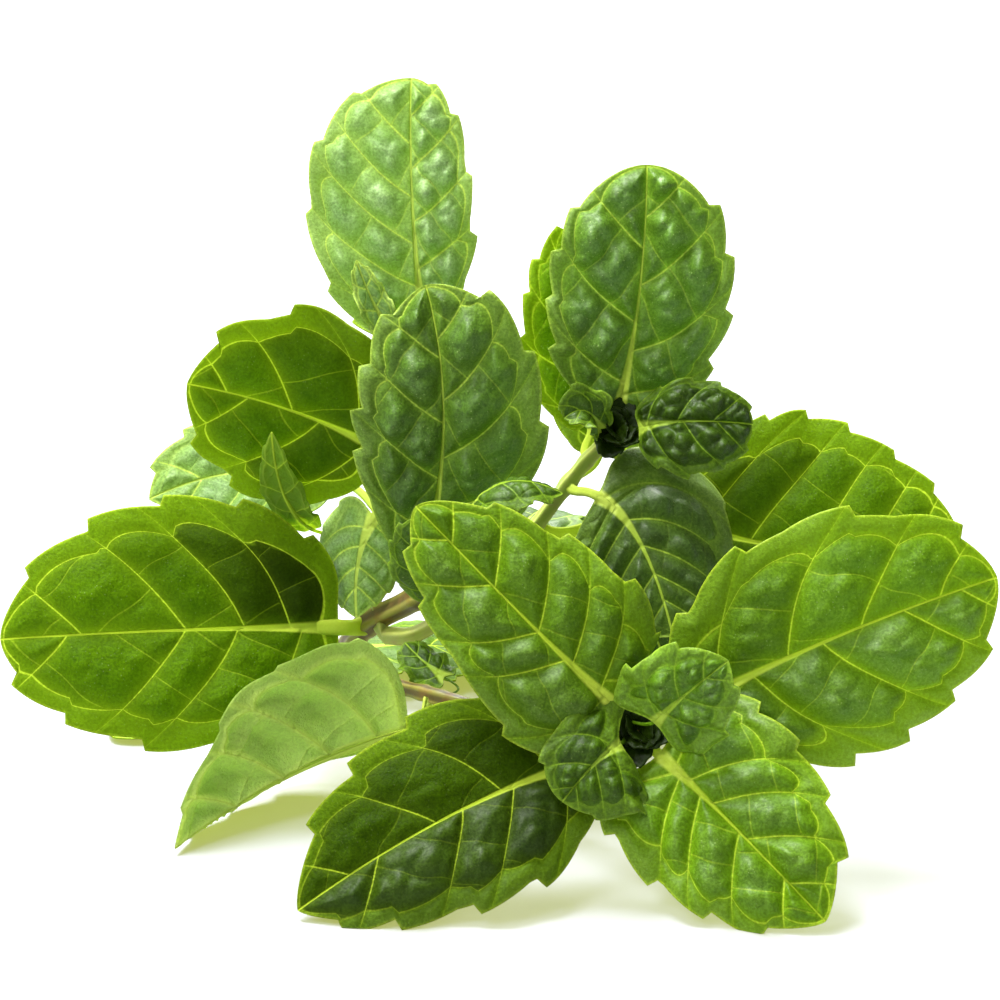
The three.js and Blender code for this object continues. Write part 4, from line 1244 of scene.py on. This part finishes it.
def leaf_skin_group(veins):
    """A leaf's colour, the colour of the light that comes through it, and its roughness and relief."""
    nodes, given = new_group("leaf_skin", {
        "Panel": (0.05, 0.14, 0.01), "Deep": (0.02, 0.08, 0.01), "Fresh": (0.16, 0.33, 0.02),
        "Vein": (0.4, 0.55, 0.1), "Painted Sheen": (0.2, 0.28, 0.18), "Under": (0.2, 0.35, 0.1),
        "Glow Panel": (0.1, 0.3, 0.01), "Glow Fresh": (0.3, 0.5, 0.02), "Glow Under": (0.9, 0.95, 0.4),
        "Painted Edge Glow": 0.7, "Halo": 0.4, "Vein Width": 0.13, "Vein Strength": 0.8, "Shine": 0.4,
    }, colours=("Color", "Glow"), values=("Roughness", "Gloss", "Height"))
    lines = nodes.add("ShaderNodeGroup", {"Vein Width": given["Vein Width"]}, node_tree=veins)
    vein, rib, crease, inside = nodes.read(lines, "Vein", "Rib", "Crease", "Inside")
    upper, wild, pillow = nodes.painted("skin")
    tone, gloss_and_painted_sheen, _ = nodes.painted("tint")
    _, margin, along = nodes.painted("place")
    where = nodes.where()
    mottle = nodes.noise(where, MOTTLE_SCALE, 4.0, 0.6)
    grain = nodes.noise(where, GRAIN_SCALE, 3.0, 0.65)
    cells = nodes.cells(where, CELL_SCALE, "DISTANCE_TO_EDGE")
    glands = nodes.cells(where, GLAND_SCALE, "F1")

    # The upper side: panels, a painted backlight glow by their veins and in the margin band, painted shade on
    # their slopes by the veins, painted sheen on their crowns, then the veins.
    # Painted backlight glow: a lighter band beside the veins and along the margin outside the loops.
    edge = (1 - inside) * given["Painted Edge Glow"]
    painted_glow = nodes.larger((1 - pillow) ** 2.0 * given["Halo"], edge)
    # Painted shade: the panels' slopes close to their veins are darkened, where the creases fall in shade.
    foot = nodes.ramp(pillow, 0.0, 0.3) * nodes.ramp(pillow, 0.3, 0.8, 1.0, 0.0)
    # Painted sheen: a pale sheen colour mixed into the colour on the panels' crowns, by the same amount that
    # sets the coat's gloss.
    painted_sheen = nodes.ramp(pillow, 0.35, 1.0) * nodes.ramp(mottle, 0.35, 0.65, 0.45, 1.0) * gloss_and_painted_sheen
    network = nodes.ramp(cells, 0.0, 0.09, 0.06, 0.0) * pillow
    rib_base = rib * nodes.ramp(along, 0.0, 0.45, 0.5, 0.0)
    dots = nodes.ramp(glands, 0.08, 0.2, 0.5, 0.0) * pillow
    color = nodes.mix(nodes.ramp(mottle * 1.3 + wild * 0.35, 0.3, 1.0), given["Deep"], given["Panel"])
    for share, over in (
            (painted_glow, given["Fresh"]), (foot * 0.3, given["Deep"]), (painted_sheen * 0.25, given["Painted Sheen"]),
            (network, given["Fresh"]), (nodes.ramp(margin, 0.0, 0.5, 0.6, 0.0), given["Vein"]),
            (vein * given["Vein Strength"], given["Vein"]), (rib, given["Vein"]),
            (rib_base * given["Vein Strength"], RIB_BASE_COLOUR), (dots * 0.75, GLAND_COLOUR)):
        color = nodes.mix(share, color, over)

    # The underside, which shows more of its veins and less of its panels.
    under_side = 1 - upper
    veined = nodes.larger(vein, rib)
    # Painted shade: the underside's sunk panels between the raised veins are darker.
    sunk = nodes.ramp(pillow, 0.0, 0.35)
    under = nodes.mix(nodes.ramp(mottle, 0.3, 0.7, 0.4, 0.1), given["Under"], given["Panel"])
    under = nodes.mix(sunk * 0.35, under, given["Panel"])
    under = nodes.mix(veined * 0.65, under, given["Vein"])

    # How light a place is: the leaf's own tone with the painted shade next to its base, which the veins keep
    # out of, and a fine speckle.
    off_rib = 1 - rib * 0.85
    off_veins = (off_rib - vein * 0.7).clamped()
    lightness = 1 + tone * (0.6 - edge * 0.5) * off_veins
    speckle = nodes.ramp(grain, 0.3, 0.7, -0.32, 0.32) * off_rib * (1 - under_side * 0.6)
    color = nodes.brightened(nodes.mix(under_side, color, under), (1 + speckle) * lightness)

    glow = nodes.mix(painted_glow, given["Glow Panel"], given["Glow Fresh"])
    glow = nodes.brightened(nodes.mix(veined * 0.6, glow, given["Vein"]), lightness)
    glow_under = nodes.mix(sunk * 0.4 * (1 - veined), given["Glow Under"], given["Glow Fresh"])

    rough = given["Shine"] + nodes.ramp(mottle, 0.3, 0.7, -0.06, 0.1) + painted_glow * 0.12 + under_side * 0.25
    gloss = gloss_and_painted_sheen * nodes.ramp(pillow, 0.0, 0.6, 0.35, 1.0) * nodes.ramp(grain, 0.35, 0.65, 0.6, 1.0)
    relief = (crease * 0.11 + grain * 0.16 * off_rib + dots * 0.06 + mottle * 0.22 * off_rib
              + nodes.ramp(cells, 0.0, 0.12, 0.0, 0.01))
    nodes.add("NodeGroupOutput", {
        "Color": color,
        "Glow": nodes.mix(under_side, glow, glow_under),
        "Roughness": rough.clamped(),
        "Gloss": gloss * upper,
        "Height": relief * (upper * (1 + UNDER_RELIEF) - UNDER_RELIEF),
    })
    return nodes.tree


# ---------------------------------------------------------------- materials

def bare_material(name):
    material = bpy.data.materials.new(name)
    material.use_nodes = True
    material.node_tree.nodes.clear()
    return material, Nodes(material.node_tree)


def leaf_material(name, skin, through, specular, look):
    """A blade: skin that shines a little, mixed with the light that passes through it."""
    material, nodes = bare_material(name)
    leaf = nodes.add("ShaderNodeGroup", look, node_tree=skin)
    normal = nodes.bump(leaf.outputs["Height"])
    surface = nodes.add("ShaderNodeBsdfPrincipled", {
        "Base Color": leaf.outputs["Color"], "Roughness": leaf.outputs["Roughness"], "Normal": normal,
        "Specular IOR Level": specular, "Coat Weight": leaf.outputs["Gloss"], "Coat Roughness": 0.48,
        "Coat IOR": 1.5})
    passing = nodes.add("ShaderNodeBsdfTranslucent", {"Color": leaf.outputs["Glow"], "Normal": normal})
    mixed = nodes.add("ShaderNodeMixShader", {0: through, 1: surface.outputs[0], 2: passing.outputs[0]})
    nodes.add("ShaderNodeOutputMaterial", {"Surface": mixed.outputs[0]})
    return material


def stem_material(name, ridge, groove, old, pith, roughness):
    """A square stem: paler at its corners, older towards its foot, with pith where it is cut."""
    material, nodes = bare_material(name)
    where = nodes.where()
    corner, share, skin = nodes.painted("stalk")
    mottle = nodes.noise(where, 500.0, 4.0, 0.6)
    grain = nodes.noise(where, 3000.0, 2.0, 0.6)
    color = nodes.mix(nodes.ramp(corner, -0.7, 0.9), groove, ridge)
    color = nodes.mix(nodes.ramp(mottle, 0.45, 0.75, 0.0, 0.6), color, old)
    color = nodes.mix(nodes.ramp(share, 0.0, 0.5, 0.35, 0.0), color, old)
    color = nodes.mix(nodes.ramp(skin, -0.1, 0.1, 1.0, 0.0), color, pith)
    surface = nodes.add("ShaderNodeBsdfPrincipled", {
        "Base Color": color, "Roughness": nodes.ramp(mottle, 0.3, 0.7, roughness - 0.06, roughness + 0.08),
        "Normal": nodes.bump(mottle * 0.12 + grain * 0.04), "Subsurface Weight": 0.15,
        "Subsurface Scale": MM, "Subsurface Radius": (1.0, 1.0, 0.3)})
    nodes.add("ShaderNodeOutputMaterial", {"Surface": surface.outputs[0]})
    return material


def finishes():
    """The materials by slot."""
    skin = leaf_skin_group(leaf_veins_group())
    made = {slot: leaf_material(name, skin, through, specular, look)
            for slot, (name, through, specular, look) in LEAF_FINISHES.items()}
    for slot, finish in STEM_FINISHES.items():
        made[slot] = stem_material(**finish)
    return made


# ---------------------------------------------------------------- table, light and camera

def table():
    half = TABLE_HALF_WIDTH
    mesh = bpy.data.meshes.new("table_top")
    mesh.from_pydata([(-half, -half, 0), (half, -half, 0), (half, half, 0), (-half, half, 0)], [],
                     [(0, 1, 2, 3)])
    material, nodes = bare_material("table_white")
    # The table glows: yellow-green close to the sprig, as painted leaf-tinted light in the shadows there, and
    # white farther off, as painted light that keeps the far table white.
    away = nodes.add("ShaderNodeVectorMath", {0: nodes.where()}, operation="LENGTH").outputs["Value"]
    glow = nodes.mix(nodes.ramp(away, 0.25, 0.9), (0.37, 0.4, 0.08), (1, 1, 1))
    surface = nodes.add("ShaderNodeBsdfPrincipled", {
        "Base Color": (0.24, 0.24, 0.35), "Roughness": 0.6, "Specular IOR Level": 0.2,
        "Emission Color": glow, "Emission Strength": 1.0})
    nodes.add("ShaderNodeOutputMaterial", {"Surface": surface.outputs[0]})
    mesh.materials.append(material)
    piece = bpy.data.objects.new("table_top", mesh)
    bpy.context.scene.collection.objects.link(piece)


def softbox(name, place, target, size, power):
    light = bpy.data.lights.new(name, "AREA")
    light.shape = "RECTANGLE"
    light.size, light.size_y = size
    light.energy = power
    lamp = bpy.data.objects.new(name, light)
    lamp.location = place
    aim(lamp, target)
    bpy.context.scene.collection.objects.link(lamp)


def aim(thing, target):
    direction = Vector(target) - Vector(thing.location)
    thing.rotation_euler = direction.to_track_quat("-Z", "Y").to_euler()


def studio_world():
    """White where the camera looks past the table, and to everything else bright above and dim in front."""
    world = bpy.data.worlds.new("studio")
    world.use_nodes = True
    nodes = Nodes(world.node_tree)
    nodes.tree.nodes.clear()
    _, back, up = nodes.split(nodes.add("ShaderNodeTexCoord").outputs["Generated"])
    room = nodes.ramp(up + back * 0.5, -0.4, 0.7, 0.12, 0.42)
    seen = nodes.read(nodes.add("ShaderNodeLightPath"), "Is Camera Ray")[0]
    background = nodes.add("ShaderNodeBackground", {
        "Color": nodes.mix(seen, (0.95, 1.0, 0.8), (1, 1, 1)), "Strength": nodes.larger(room, seen)})
    nodes.add("ShaderNodeOutputWorld", {"Surface": background.outputs[0]})
    return world


def light_and_camera():
    scene = bpy.context.scene
    scene.view_settings.view_transform = "Standard"
    scene.view_settings.look = "None"
    scene.world = studio_world()
    for lamp in LAMPS:
        softbox(**lamp)
    camera = bpy.data.cameras.new("camera")
    camera.sensor_width = SENSOR_WIDTH
    camera.lens = SENSOR_WIDTH * CAMERA_DISTANCE / VIEW_WIDTH
    viewer = bpy.data.objects.new("camera", camera)
    tilt = math.radians(CAMERA_TILT)
    middle = (SPRIG_OFFSET + np.array([0, 0, VIEW_HEIGHT])) * MM
    viewer.location = middle + CAMERA_DISTANCE * MM * np.array([0, -math.cos(tilt), math.sin(tilt)])
    aim(viewer, middle)
    scene.collection.objects.link(viewer)
    scene.camera = viewer


# ---------------------------------------------------------------- the sprig

def grow():
    stems = grown_stems()
    materials = finishes()
    for stem in stems.values():
        stem_object(stem, stems, materials[stem["slot"]])
    for row in LEAVES:
        leaf = full_row(row)
        body = Body()
        add_leaf(body, leaf, stems[leaf["stem"]])
        piece = body.object(leaf["name"] + "_grown", materials[leaf.get("look", leaf["slot"])])
        finish_piece(piece, leaf["name"])
    for bud in BUDS:
        bud_object(bud, stems[bud["stem"]], materials["young_blade"])


table()
light_and_camera()
grow()
